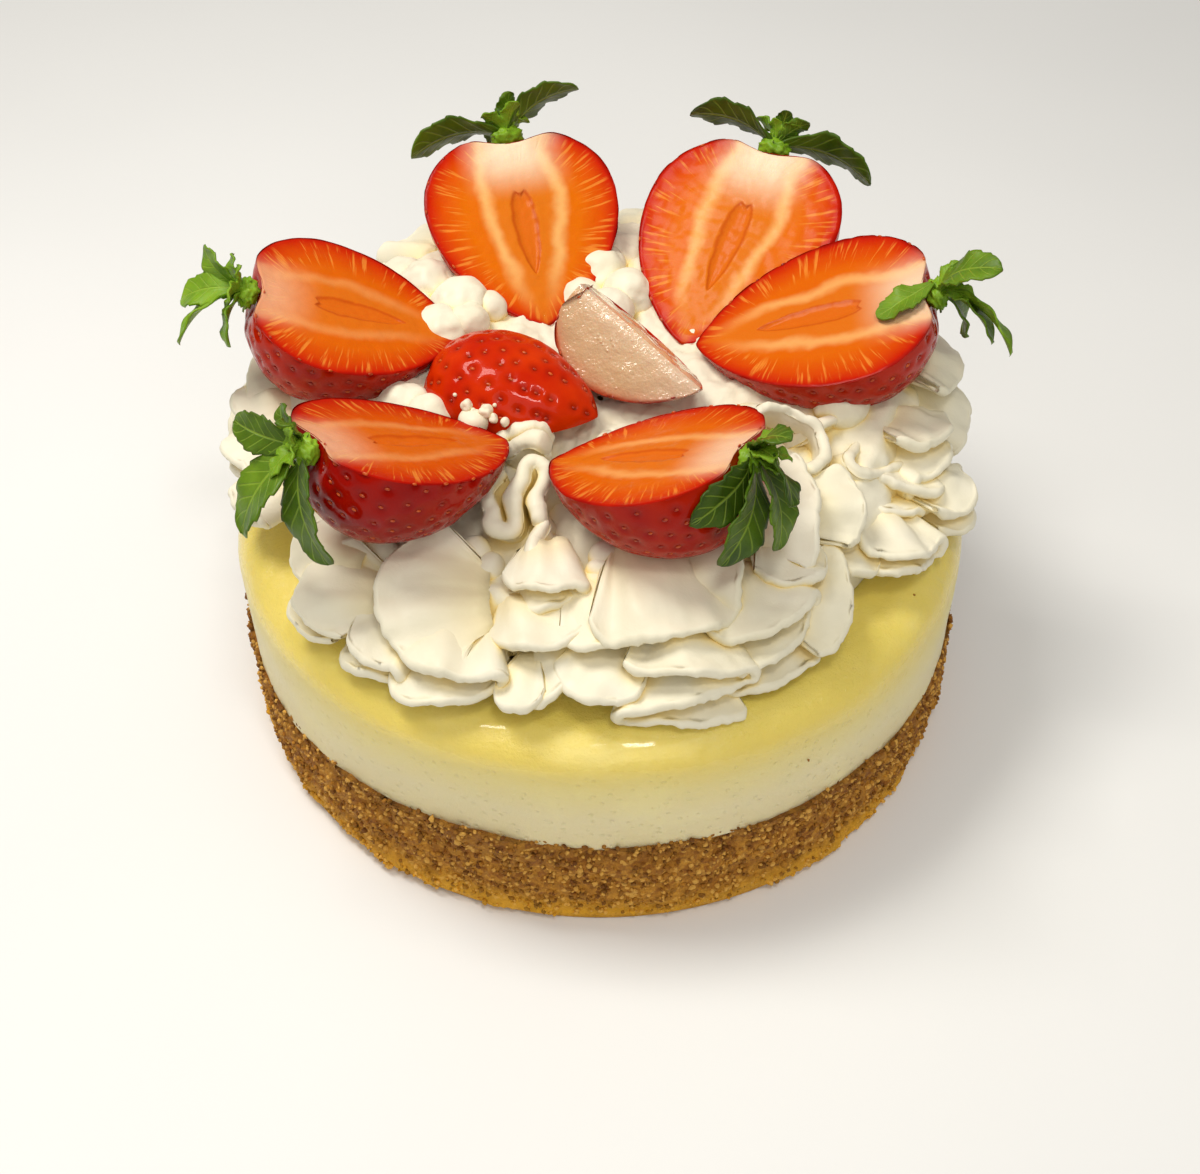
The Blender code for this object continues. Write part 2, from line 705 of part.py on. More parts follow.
def ribbon_pieces(ribbon):
    """Each pass of a ribbon as a closed body. The passes narrow towards their root."""
    for k in range(ribbon.passes):
        sign = 1 if k % 2 == 0 else -1
        deepest = ribbon.sheet if k == 0 else FOLD_DEPTH
        path, ways_in = [], []
        for side, out, rise in edge_spots(ribbon, k):
            across = ribbon.lateral * (sign * side)
            path.append(ribbon.start + across + ribbon.face * out + ribbon.normal * rise)
            way_in = -across * (1 - ROOT_SHARE) - ribbon.face * (deepest + out)
            ways_in.append(way_in * min(1.0, deepest / way_in.length))
        yield ribbon_pass(path, ways_in, [ribbon.normal] * len(path), ribbon.stout)


def radial(angle):
    turn = math.radians(angle)
    return Vector((math.cos(turn), math.sin(turn), 0))


def on_slope(place, heading):
    """The way out of the slope of the wreath at a place, and the heading laid along the slope."""
    outward = Vector((place.x, place.y, 0)).normalized()
    surface = outward * math.sin(FRONT_SLOPE) + UP * math.cos(FRONT_SLOPE)
    ahead = radial(heading)
    return surface, (ahead - surface * ahead.dot(surface)).normalized()


def loop_piece(loop):
    """A standing ribbon as one closed body, which leans out of its bend on the way down."""
    place = Vector(loop.place) * MM
    surface, ahead = on_slope(place, loop.heading)
    lateral = surface.cross(ahead)
    length, width = loop.length * MM, loop.width * MM
    path, normals = [], []
    for i in range(LOOP_STEPS + 1):
        turn = math.radians(loop.first + (loop.last - loop.first) * i / LOOP_STEPS)
        spot = ahead * (length * math.cos(turn)) + lateral * (width * math.sin(turn))
        outer = ahead * (width * math.cos(turn)) + lateral * (length * math.sin(turn))
        drop = LOOP_END_DROP if i in (0, LOOP_STEPS) else 0.0
        path.append(place + spot - surface * drop)
        normals.append(-outer.normalized())
    return ribbon_pass(path, [-surface * loop.depth * MM] * len(path), normals)


def front_ribbon(fold):
    """A fold that lies on the slope of the wreath."""
    place = Vector(fold.place) * MM
    surface, ahead = on_slope(place, fold.heading)
    lift = math.radians(fold.lift)
    face = ahead * math.cos(lift) + surface * math.sin(lift)
    normal = surface * math.cos(lift) - ahead * math.sin(lift)
    sizes = [size * MM for size in (fold.half, fold.pitch, fold.advance, fold.sheet)]
    return Ribbon(place, surface.cross(ahead), face, normal, fold.passes, *sizes, fold.sweep)


def frill_ribbon(frill):
    fall = math.radians(frill.fall)
    down = radial(frill.heading) * math.cos(fall) - UP * math.sin(fall)
    right = UP.cross(down).normalized()
    lean = math.radians(frill.lean)
    face = right * math.cos(lean) + down.cross(right) * math.sin(lean)
    step = right * frill.spacing
    away = step - face * step.dot(face)
    sizes = [size * MM for size in (frill.half, away.length, step.dot(face), frill.depth)]
    place = Vector(frill.place) * MM
    normal = -away.normalized()
    return Ribbon(place, down, face, normal, frill.passes, *sizes, frill.sweep, FRILL_STOUTNESS)


def side_ribbon(fold):
    """One of the taller folds, piped down the side of the wreath."""
    outward = radial(fold.angle)
    first = (outward * fold.first[0] + UP * fold.first[1]) * MM
    last = (outward * fold.last[0] + UP * fold.last[1]) * MM
    step = (last - first) / (BACK_PASSES - 1)
    slope = math.atan2(-step.z, step.dot(outward))
    dip = slope - math.asin(min(1.0, BACK_PITCH / step.length))
    face = outward * math.cos(dip) - UP * math.sin(dip)
    lean = Matrix.Rotation(math.radians(fold.lean), 3, face)
    lateral = lean @ UP.cross(outward)
    normal = lean @ (outward * math.sin(dip) + UP * math.cos(dip))
    sizes = (fold.half * MM, BACK_PITCH, step.dot(face), BACK_SHEET * MM)
    return Ribbon(first, lateral, face, normal, BACK_PASSES, *sizes, BACK_SWEEP)


def make_lump(place, radius):
    bm = bmesh.new()
    bmesh.ops.create_icosphere(bm, subdivisions=1, radius=radius * MM)
    bmesh.ops.scale(bm, vec=(1, 1, LUMP_HEIGHT), verts=bm.verts[:])
    bmesh.ops.translate(bm, vec=Vector(place) * MM, verts=bm.verts[:])
    return bm


def back_folds():
    """The taller folds round the sides and the back, spaced evenly and a little uneven in form."""
    draw = random.Random(BACK_SEED)
    for i in range(BACK_FOLDS):
        angle = BACK_FROM + (BACK_TO - BACK_FROM) * i / (BACK_FOLDS - 1)
        angle += draw.uniform(-1, 1) * BACK_JITTER
        first = tuple(size + draw.uniform(-1, 1) * BACK_JITTER for size in BACK_FIRST)
        last = tuple(size + draw.uniform(-1, 0) * BACK_JITTER for size in BACK_LAST)
        half = BACK_HALF + draw.uniform(-0.5, 0.5) * BACK_JITTER
        lean = draw.uniform(-1, 1) * BACK_LEAN
        yield SideFold(angle, first, last, half, lean)


def core_spot(turn, part):
    """A point on the heap of cream under the folds, which is lower and narrower at the front."""
    front = max(0.0, math.cos(turn - math.radians(FRONT_DEGREES))) ** CORE_FRONT_SPREAD
    radius = part * (CORE_RADIUS + (CORE_FRONT_RADIUS - CORE_RADIUS) * front)
    rim = CORE_RIM + (CORE_FRONT_TOP - CORE_RIM) * front
    climb = math.sin(math.pi / 2 * min(1.0, part / CORE_RIM_PART)) ** 2
    height = CORE_TOP + (rim - CORE_TOP) * climb
    edge_drop = CORE_EDGE_DROP * max(0.0, (part - CORE_EDGE_PART) / (1 - CORE_EDGE_PART))
    return radius * math.cos(turn), radius * math.sin(turn), height - edge_drop


def make_core(material):
    turns = [math.tau * i / CORE_SEGMENTS for i in range(CORE_SEGMENTS)]
    rings = [[(*core_spot(t, 1.0)[:2], CREAM_BASE) for t in turns]]
    rings += [[core_spot(t, part) for t in turns] for part in CORE_RINGS]
    rings.append([(0, 0, CORE_TOP)])
    return object_from(loft(rings), "cream", material)


def make_cream(material, neighbours):
    core = make_core(material)
    ribbons = [front_ribbon(fold) for fold in FRONT_FOLDS]
    ribbons += [side_ribbon(fold) for fold in back_folds()]
    ribbons += [frill_ribbon(frill) for frill in FRILLS]
    bodies = [body for ribbon in ribbons for body in ribbon_pieces(ribbon)]
    bodies += [loop_piece(loop) for loop in LOOPS]
    bodies += [make_lump(place, radius) for place, radius in LUMPS]
    pieces = [object_from(body, "fold") for body in bodies]
    combine(core, pieces, "UNION")
    room = make_filling(None, "filling_room", GAP)
    combine(core, [room], "DIFFERENCE")
    make_room(core, neighbours)
    merge_flat_faces(core.data)
    return core


def main():
    clear_scene()
    crumb = principled("crumb_crust", (0.40, 0.20, 0.055), 0.85)
    custard = principled("baked_filling", (0.86, 0.74, 0.27), 0.35, 0.1)
    flesh = principled("strawberry", (0.75, 0.06, 0.015), 0.2)
    pale = principled("pale_strawberry", (0.78, 0.45, 0.33), 0.2)
    green = principled("calyx", (0.09, 0.22, 0.03), 0.45)
    whipped = principled("whipped_cream", (0.93, 0.89, 0.76), 0.45, 0.1)
    make_crust(crumb)
    make_filling(custard)
    halves = {berry.name: make_half(berry, flesh) for berry in BERRIES}
    make_room(halves["strawberry_back_right"], [halves["strawberry_right"]])
    wedge = make_wedge(MIDDLE_WEDGE, pale)
    make_room(wedge, halves.values())
    dome = make_half(MIDDLE_DOME, flesh)
    make_room(dome, [wedge, *halves.values()])
    calyxes = [make_calyx(berry, halves[berry.name], green) for berry in BERRIES]
    make_cream(whipped, [*halves.values(), wedge, dome, *calyxes])


main()
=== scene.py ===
"""The strawberry cheesecake, dressed: cream, cut fruit, leaves, crumb and light."""

import math
import random

import bpy
import numpy as np
from mathutils import Matrix, Vector, noise


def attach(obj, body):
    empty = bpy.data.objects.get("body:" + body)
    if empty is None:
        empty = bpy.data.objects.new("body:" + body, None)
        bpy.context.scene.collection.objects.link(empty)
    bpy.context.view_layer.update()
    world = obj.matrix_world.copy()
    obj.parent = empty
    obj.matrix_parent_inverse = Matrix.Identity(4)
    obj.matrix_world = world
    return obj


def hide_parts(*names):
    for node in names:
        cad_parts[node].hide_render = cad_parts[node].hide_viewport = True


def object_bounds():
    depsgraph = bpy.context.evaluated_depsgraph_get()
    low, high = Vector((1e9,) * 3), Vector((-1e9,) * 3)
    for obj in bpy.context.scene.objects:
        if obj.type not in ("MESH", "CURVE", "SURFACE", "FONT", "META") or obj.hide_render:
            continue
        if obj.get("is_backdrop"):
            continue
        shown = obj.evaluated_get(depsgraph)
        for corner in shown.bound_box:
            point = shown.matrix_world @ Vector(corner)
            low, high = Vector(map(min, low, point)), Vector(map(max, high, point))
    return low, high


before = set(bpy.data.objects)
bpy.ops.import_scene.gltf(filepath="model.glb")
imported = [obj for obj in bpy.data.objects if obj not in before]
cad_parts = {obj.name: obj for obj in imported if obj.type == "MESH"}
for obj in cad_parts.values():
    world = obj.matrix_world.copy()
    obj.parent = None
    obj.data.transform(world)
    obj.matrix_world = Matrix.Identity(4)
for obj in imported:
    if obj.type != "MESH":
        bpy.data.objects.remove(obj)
cad_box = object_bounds()

MM = 0.001
Z = np.array((0.0, 0.0, 1.0))
FINE = 0.62

# sizes in mm, as in the solids
CRUST_RADIUS, CRUST_HEIGHT, CRUST_CHAMFER = 76, 23.2, 1.5
CRAG_DEPTH, SEAM_WAVE = 0.55, 1.1
FILLING_RADIUS, FILLING_TOP = 75, 49.5
SHOULDER_RADIUS, SHOULDER_DROP = 9, 7.5
BERRY_DIMPLE, BERRY_WIDEST, SHOULDER_FULLNESS, TIP_TAPER = 2.6, 0.32, 0.82, 1.55
LEAF_WIDTH, LEAF_FOLD, LEAF_CLEARANCE = 0.5, 0.22, 1.0
HUB_RADIUS, HUB_CENTRE, LEAF_ROOT = 3.9, (-2.5, 0, -2.0), (-2.6, 0, -1.2)
CORE_RADIUS, CORE_FRONT_RADIUS = 64, 57
CORE_FRONT_TOP, CORE_TOP, CORE_RIM = 63, 70, 74
RIBBON_RIM, RIBBON_ROOT, RIBBON_BEND = 2.5, 3.0, math.radians(34)
RIBBON_CORNER, LIP_SWELL, LIP_RISE, LIP_REACH = 3.4, 0.14, 0.6, 2.6
FRILL_STOUTNESS = 1.45
FOLD_DEPTH, FOLD_PITCH, CAMBER_SHARE = 15, 4.1, 0.22
FULL_CORNER_SWEEP, LOOP_CORNER = 60, 2.6
SHEET_WAVE, SHEET_WAVE_SIZE = 1.15, 8
BACK_PITCH = 4.6
SEPALS = 5

# steps and spacings of the fine meshes
CORE_TURNS, CORE_ROWS = 300, 90
FILLING_TURNS, FILLING_SIDE_ROWS, FILLING_SHOULDER_ROWS, FILLING_TOP_ROWS = 420, 34, 18, 40
CRUST_TURNS, CRUST_ROWS, CRUST_TOP_RADIUS = 900, 44, 70
SHOULDER_STEPS, TIP_STEPS = 26, 44
CUT_RINGS, CUT_SPACING, CUT_HOLLOW, CUT_SAG = 44, 0.7, 0.6, 0.25
WEDGE_ROWS, WEDGE_SPACING, WEDGE_RIDGE = 30, 0.6, 1.6
LEAF_ROWS, LEAF_COLUMNS, LEAF_TEETH, LEAF_HALF_THICKNESS = 46, 17, 7, 0.22
# the grains pressed into the crust, and the few crumbs that lie on the filling
GRAINS, GRAIN_SIZES = 6500, (0.22, 0.62)
LOOSE_CRUMBS, LOOSE_SIZES = 9, (0.2, 0.45)
# seeds: the first from the calyx end, the steps along and round the fruit, and their size
SEED_START, SEED_STEPS, SEED_SPACING, SEED_SIZES = 2.2, (3.2, 3.7), 4.0, (0.54, 0.74)
PIT_RADIUS, PIT_DEPTH = 0.85, 0.5
# camera in metres and degrees, floor in mm, and the studio's light in the open and in mirrored rays
CAMERA_PLACE, CAMERA_TILT, CAMERA_LENS = (0, -0.2572, 0.2739), 45.03, 49.5
FLOOR_REACH, FLOOR_STEPS, FLOOR_LEVEL = 1500, 41, -0.3
STUDIO_LIGHT, STUDIO_MIRRORED = 0.45, 0.14

# name, calyx end, tip, width, depth, roll, ring paleness, orange tone
BERRIES = (
    ("strawberry_back_left", (-19.2, 57.3, 93), (-10.9, 22.4, 71), 41, 19, 0, 1.0, 0.75),
    ("strawberry_back_right", (35.5, 53, 93), (16.8, 16, 71), 42, 19, 0, 0.9, 0.7),
    ("strawberry_right", (62, 8, 90), (19.3, 12, 74), 41, 19, 7, 0.7, 0.45),
    ("strawberry_left", (-65.4, 10, 89), (-28.5, 15, 74), 41, 19, 3, 0.15, 0.4),
    ("strawberry_front_left", (-48.6, -37, 90), (-17.4, -19, 75), 37, 18.5, -9, 0.2, 0.05),
    ("strawberry_front_right", (23.6, -39.6, 90), (-9, -25, 75), 39, 18.5, -9, 0.5, 0.4),
)
# in the same order for each calyx: its green from dark to light, and its leaves, each with its
# place round the axis and lift in degrees, and its length
LEAVES = (
    (0.25, ((22, 17, 18), (188, -3, 21), (75, 50, 9), (265, 20, 13))),
    (0.2, ((161, -3, 19), (344, 1, 22), (30, 35, 9), (75, 45, 8), (250, 25, 13))),
    (0.55, ((47, 55, 16), (300, 32, 15), (322, 36, 19), (262, 8, 15), (8, -62, 13))),
    (0.75, ((17, 50, 12), (293, 47, 15), (238, 38, 17), (205, 8, 13))),
    (0.3, ((359, 35, 14), (30, 11, 9), (279, 20, 20), (236, -8, 21), (75, 55, 7))),
    (0.1, ((345, -20, 17), (314, -12, 20), (290, 10, 17), (326, 42, 14), (45, 59, 12))),
)
DOME = ("strawberry_middle_red", (-30.5, 4.5, 70), (-0.5, -10.5, 73.5), 27, 12, 180, 0.4, 0.75)
WEDGE = ("strawberry_middle_pale", (-2.5, 11.8, 88), (19.6, -8.6, 79), 30, 15, 0, 0.5, 0.5)
WEDGE_HALF_ANGLE = 46

# the folds: place of the free edge, heading and lift in degrees, passes, half width,
# advance from pass to pass, depth of the first sheet, sweep of its arc in degrees
FRONT_FOLDS = (
    ((-39.4, -50, 60), 186, 4, 1, 15, 0, 20, 140),
    ((-54.8, -41.4, 57.5), 172, 4, 1, 10, 0, 17, 130),
    ((-56, -33, 60), 160, 4, 1, 8, 0, 14, 110),
    ((-56.4, -45.5, 52.6), 190, 0, 1, 6, 0, 11, 130),
    ((-44, -56.5, 55), 222, 8, 2, 7, 2.5, 14, 110),
    ((-29, -63.5, 57), 255, 6, 2, 10, 4.5, 16, 80),
    ((-15, -68.2, 53), 258, 0, 1, 5, 0, 12, 90),
    ((-9.3, -60, 60.5), 292, 6, 2, 8, 7, 14, 70),
    ((-10.8, -51.5, 66), 271, 8, 2, 6.5, 3, 12, 50),
    ((1, -60.5, 61), 286, 4, 1, 7, 0, 17, 60),
    ((0, -68, 53.8), 268, 0, 1, 8.5, 0, 15, 110),
    ((13.1, -60.5, 62.5), 283, 4, 1, 14, 0, 24, 60),
    ((15.6, -65.5, 58.6), 281, 8, 3, 11, 3.2, 16, 36),
    ((30.8, -56.5, 61), 306, 8, 3, 10.5, 3.6, 16, 60),
    ((25.5, -45, 68), 3, 16, 1, 11, 0, 13, 40),
    ((39.2, -33.5, 69.5), 2, 12, 1, 12, 0, 13, 24),
    ((48, -28.5, 66.5), 8, 8, 1, 8.5, 0, 13, 40),
    ((36.7, -46.5, 63), 300, 6, 1, 7.5, 0, 13, 80),
    ((45.5, -46, 57.8), 352, 4, 1, 11.5, 0, 13, 50),
    ((57.5, -35, 57.4), 291, 4, 2, 10, 1.2, 16, 90),
    ((48.5, -39, 57), 285, 0, 1, 5, 0, 12, 60),
    ((60, -21, 61.5), 290, 8, 2, 10, 3, 14, 90),
    ((67, -10, 66), 335, 8, 3, 9, 3, 14, 90),
    ((73, -17, 57), 350, 6, 2, 7, 2, 16, 110),
    ((-73, 2, 65), 178, 4, 2, 6.5, 1, 15, 130),
    ((-73.5, -9, 62), 188, 4, 2, 6, 1, 15, 130),
    ((-71.5, -19.5, 58.5), 200, 4, 2, 6, 1, 15, 130),
)
# the frills: place, heading and fall, passes, half width, spacing, lean, depth, sweep
FRILLS = (
    ((-18.9, -31, 73), 262, 22, 3, 5.6, 4.5, 80, 9, 30),
    ((-9.8, -43, 68.5), 264, 26, 1, 8, 4, 80, 9, 30),
    ((-13.5, -16.5, 75.6), 178, 6, 2, 4.2, 4.4, 62, 8, 110),
    ((5, -20, 72.5), 250, 8, 1, 6, 4, 30, 10, 60),
)
# the ribbons that stand in bends: place, heading, length, width, first, last, depth
LOOPS = (
    ((35, -19.5, 76.2), 10, 9.5, 8, 115, -70, 9),
    ((56.5, -11, 66.5), 220, 13, 5, -150, 100, 9),
    ((51.5, -7.5, 70), 30, 12, 3, 170, 25, 8),
)
# place and radius of the soft lumps in the hollows between the fruit
LUMPS = (
    ((-36, 34, 72), 7), ((-29, 27, 73), 6.5), ((-26, 34, 72), 6), ((-33, 18, 72), 6.5),
    ((-39, 26, 71), 6), ((-27, 20, 73.5), 4.5), ((-42, 39, 69), 7), ((-23, 26, 73), 4),
    ((0, 38, 73), 6.5), ((6, 31, 73), 6), ((2, 24, 74), 5), ((10, 38, 71), 6),
    ((-4, 31, 72), 5), ((4, 46, 71), 7), ((-38, -5, 71.5), 5.5), ((-33, -9.5, 73), 4.5),
    ((-43, -12, 70), 5), ((-24, -13, 74.5), 3), ((47, -4, 72), 6), ((42, 40, 70), 8),
)
# place and radius of the soft cream that closes the clefts beside the two front sheets
CLEFTS = (
    ((-22.9, -38.3, 64.3), 3.2), ((-20.3, -41.3, 63.4), 3), ((0.9, -41.6, 66.1), 3.2),
    ((0.3, -44, 65.4), 3), ((-0.4, -46.5, 64.2), 3), ((-0.9, -49, 62.9), 3),
    ((-1.4, -51.3, 61.6), 3),
)
# place and radius of the flecks on the middle strawberry
FLECKS = (
    ((-25.2, -11.7, 77.2), 1.15), ((-24, -12.6, 76.4), 0.8), ((-21.6, -12.9, 76.8), 1.4),
    ((-20.2, -13.9, 75.9), 1), ((-19.9, -12.6, 78), 0.45), ((-17.9, -14.6, 75.6), 0.9),
    ((-27.6, -9.4, 78), 0.4),
)
SLOPE = math.radians(29)
ROOT_SHARE = 0.45
BACK_FROM, BACK_TO, BACK_FOLDS = 9, 169, 8
BACK_FIRST, BACK_LAST = (71, 66), (76, 53)
BACK_PASSES, BACK_HALF, BACK_SHEET = 3, 10.5, 15
BACK_JITTER, BACK_LEAN, BACK_SEED, BACK_SWEEP = 1.5, 9, 1, 70


def unit(v):
    return v / np.maximum(np.linalg.norm(v, axis=-1, keepdims=True), 1e-12)


def smooth(t):
    t = np.clip(t, 0, 1)
    return t * t * (3 - 2 * t)


def turned(v, degrees, axis):
    return np.array(Matrix.Rotation(math.radians(degrees), 3, Vector(axis)) @ Vector(v))


def wobble(points, scale, seed, octaves=1):
    """Smooth noise in -1..1 at each point, with features about that many mm across."""
    out = np.empty(len(points))
    shift = Vector((seed * 7.31, seed * 3.17, seed * 1.93))
    for i, p in enumerate(points / scale):
        q = Vector(p) + shift
        out[i] = noise.noise(q)
        if octaves > 1:
            out[i] += 0.5 * noise.noise(q * 2.1)
        if octaves > 2:
            out[i] += 0.25 * noise.noise(q * 4.3)
    return out


def evened(points, spacing):
    """The same line, with whatever stands in later columns, at points a set distance apart."""
    run = np.concatenate([[0], np.cumsum(np.linalg.norm(np.diff(points[:, :3], axis=0), axis=1))])
    at = np.linspace(0, run[-1], int(run[-1] / spacing) + 1)
    return np.stack([np.interp(at, run, points[:, k]) for k in range(points.shape[1])], 1)


def full_turn(count):
    return np.linspace(0, math.tau, count, endpoint=False)


def grid_faces(rows, columns, wrap=False):
    """Quads of a grid of points stored row by row. With wrap each row is a closed ring."""
    i = np.arange(rows - 1)[:, None]
    j = np.arange(columns if wrap else columns - 1)[None]
    k = (j + 1) % columns
    quads = [i * columns + j, i * columns + k, (i + 1) * columns + k, (i + 1) * columns + j]
    return np.stack(np.broadcast_arrays(*quads), -1).reshape(-1, 4)


class Mesh:
    """Points and faces gathered from several shapes, with numbers kept at each point."""

    def __init__(self, *names):
        self.points, self.faces, self.marks, self.count = [], [], {n: [] for n in names}, 0

    def add(self, points, faces, **marks):
        points = np.asarray(points, float).reshape(-1, 3)
        self.points.append(points)
        self.faces += [tuple(int(v) + self.count for v in f) for f in faces]
        for name, kept in self.marks.items():
            kept.append(np.broadcast_to(np.asarray(marks.get(name, 0.0), float), (len(points),)))
        self.count += len(points)

    def make(self, name, material):
        mesh = bpy.data.meshes.new(name)
        points = np.concatenate(self.points) * MM
        mesh.from_pydata(points.tolist(), [], self.faces)
        for mark, kept in self.marks.items():
            layer = mesh.attributes.new(mark, "FLOAT", "POINT")
            layer.data.foreach_set("value", np.concatenate(kept).astype(np.float32))
        mesh.materials.append(material)
        mesh.shade_smooth()
        mesh.validate()
        obj = bpy.data.objects.new(name, mesh)
        bpy.context.scene.collection.objects.link(obj)
        return obj


def normals_of(points, faces):
    """A normal at each point of a shape made of quads or triangles."""
    faces = np.asarray(faces)
    a, b, c = points[faces[:, 0]], points[faces[:, 1]], points[faces[:, 2]]
    if faces.shape[1] == 4:
        each = np.cross(c - a, points[faces[:, 3]] - b)
    else:
        each = np.cross(b - a, c - a)
    out = np.zeros_like(points)
    for k in range(faces.shape[1]):
        np.add.at(out, faces[:, k], each)
    return unit(out)


def ball(detail):
    """Points and triangles of a unit ball."""
    t = (1 + math.sqrt(5)) / 2
    points = [(-1, t, 0), (1, t, 0), (-1, -t, 0), (1, -t, 0), (0, -1, t), (0, 1, t),
              (0, -1, -t), (0, 1, -t), (t, 0, -1), (t, 0, 1), (-t, 0, -1), (-t, 0, 1)]
    faces = [(0, 11, 5), (0, 5, 1), (0, 1, 7), (0, 7, 10), (0, 10, 11), (1, 5, 9), (5, 11, 4),
             (11, 10, 2), (10, 7, 6), (7, 1, 8), (3, 9, 4), (3, 4, 2), (3, 2, 6), (3, 6, 8),
             (3, 8, 9), (4, 9, 5), (2, 4, 11), (6, 2, 10), (8, 6, 7), (9, 8, 1)]
    points = [np.array(p, float) for p in points]
    for _ in range(detail):
        middle, finer = {}, []
        for a, b, c in faces:
            made = []
            for p, q in ((a, b), (b, c), (c, a)):
                key = (min(p, q), max(p, q))
                if key not in middle:
                    middle[key] = len(points)
                    points.append((points[p] + points[q]) / 2)
                made.append(middle[key])
            finer += [(a, made[0], made[2]), (b, made[1], made[0]), (c, made[2], made[1]), tuple(made)]
        faces = finer
    return unit(np.array(points)), np.array(faces)


class Nodes:
    """Short ways to build one node material."""

    def __init__(self, name):
        self.material = bpy.data.materials.new(name)
        self.material.use_nodes = True
        self.tree = self.material.node_tree
        self.shader = self.tree.nodes["Principled BSDF"]
        self.place = self.new("ShaderNodeTexCoord").outputs["Object"]

    def new(self, kind, **settings):
        node = self.tree.nodes.new(kind)
        for key, value in settings.items():
            setattr(node, key, value)
        return node

    def link(self, source, target):
        self.tree.links.new(source, target)

    def put(self, target, value):
        if isinstance(value, bpy.types.NodeSocket):
            self.link(value, target)
        else:
            target.default_value = value

    def set(self, **values):
        for key, value in values.items():
            self.put(self.shader.inputs[key.replace("_", " ")], value)

    def mark(self, name):
        return self.new("ShaderNodeAttribute", attribute_name=name).outputs["Fac"]

    def noise(self, scale, detail=3, rough=0.55, vector=None):
        node = self.new("ShaderNodeTexNoise")
        self.link(vector or self.place, node.inputs["Vector"])
        node.inputs["Scale"].default_value = scale
        node.inputs["Detail"].default_value = detail
        node.inputs["Roughness"].default_value = rough
        return node.outputs["Fac"]

    def cells(self, scale, out="Distance"):
        node = self.new("ShaderNodeTexVoronoi")
        self.link(self.place, node.inputs["Vector"])
        node.inputs["Scale"].default_value = scale
        return node.outputs[out]

    def math(self, operation, a, b=0.0, clamp=False):
        node = self.new("ShaderNodeMath", operation=operation, use_clamp=clamp)
        self.put(node.inputs[0], a)
        self.put(node.inputs[1], b)
        return node.outputs[0]

    def times(self, a, b):
        return self.math("MULTIPLY", a, b)

    def sway(self, value, amount):
        """A noise value brought to lie round zero, and scaled."""
        return self.times(self.math("SUBTRACT", value, 0.5), amount)

    def range(self, value, low, high, to_low=0.0, to_high=1.0, soft=True):
        node = self.new("ShaderNodeMapRange")
        node.interpolation_type = "SMOOTHSTEP" if soft else "LINEAR"
        self.put(node.inputs["Value"], value)
        ends = {"From Min": low, "From Max": high, "To Min": to_low, "To Max": to_high}
        for key, number in ends.items():
            node.inputs[key].default_value = number
        return node.outputs["Result"]

    def mix(self, share, a, b):
        node = self.new("ShaderNodeMix", data_type="RGBA")
        self.put(node.inputs["Factor"], share)
        self.put(node.inputs["A"], a if isinstance(a, bpy.types.NodeSocket) else (*rgb(*a), 1))
        self.put(node.inputs["B"], b if isinstance(b, bpy.types.NodeSocket) else (*rgb(*b), 1))
        return node.outputs["Result"]

    def ramp(self, value, *stops):
        """Colours along a value. Each stop is its place and its red, green and blue."""
        node = self.new("ShaderNodeValToRGB")
        self.link(value, node.inputs["Fac"])
        band = node.color_ramp.elements
        while len(band) < len(stops):
            band.new(0.5)
        for element, (place, *color) in zip(band, stops):
            element.position = place
            element.color = (*rgb(*color), 1)
        return node.outputs["Color"]

    def vector(self, x=0.0, y=0.0, z=0.0):
        node = self.new("ShaderNodeCombineXYZ")
        for socket, value in zip(node.inputs, (x, y, z)):
            self.put(socket, value)
        return node.outputs[0]

    def axis(self, which):
        node = self.new("ShaderNodeSeparateXYZ")
        self.link(self.place, node.inputs[0])
        return node.outputs[which]

    def bump(self, height, strength, distance, under=None):
        node = self.new("ShaderNodeBump")
        node.inputs["Strength"].default_value = strength
        node.inputs["Distance"].default_value = distance
        self.link(height, node.inputs["Height"])
        if under:
            self.link(under, node.inputs["Normal"])
        self.link(node.outputs[0], self.shader.inputs["Normal"])
        return node.outputs[0]


def rgb(red, green, blue):
    """A colour given as a screen shows it, from 0 to 255, as the shader takes it."""
    return tuple((c / 255 / 12.92) if c <= 10 else ((c / 255 + 0.055) / 1.055) ** 2.4
                 for c in (red, green, blue))


def cream_material():
    n = Nodes("whipped_cream")
    tone = n.noise(60, 3)
    color = n.ramp(tone, (0.35, 229, 222, 196), (0.7, 235, 229, 208))
    # Painted shade: the cream is tinted warm yellow where ambient occlusion finds more cream within
    # 3.5 mm, and towards the roots of the ribbons' sheets, for the warm shade in the creases between
    # the folds.
    hollow = n.new("ShaderNodeAmbientOcclusion", samples=6, only_local=True)
    hollow.inputs["Distance"].default_value = 0.0035
    ao_crease_shade = n.range(hollow.outputs["AO"], 0.05, 0.9, 0.9, 0.0)
    n.set(Base_Color=n.mix(n.math("MAXIMUM", ao_crease_shade, n.mark("crease")), color, (250, 226, 146)))
    n.set(Roughness=n.range(n.noise(400, 2), 0.3, 0.7, 0.42, 0.6))
    n.set(Specular_IOR_Level=0.3)
    low = n.bump(n.noise(260, 4, 0.6), 0.25, 0.0006)
    n.bump(n.noise(1400, 2), 0.18, 0.0002, low)
    return n.material


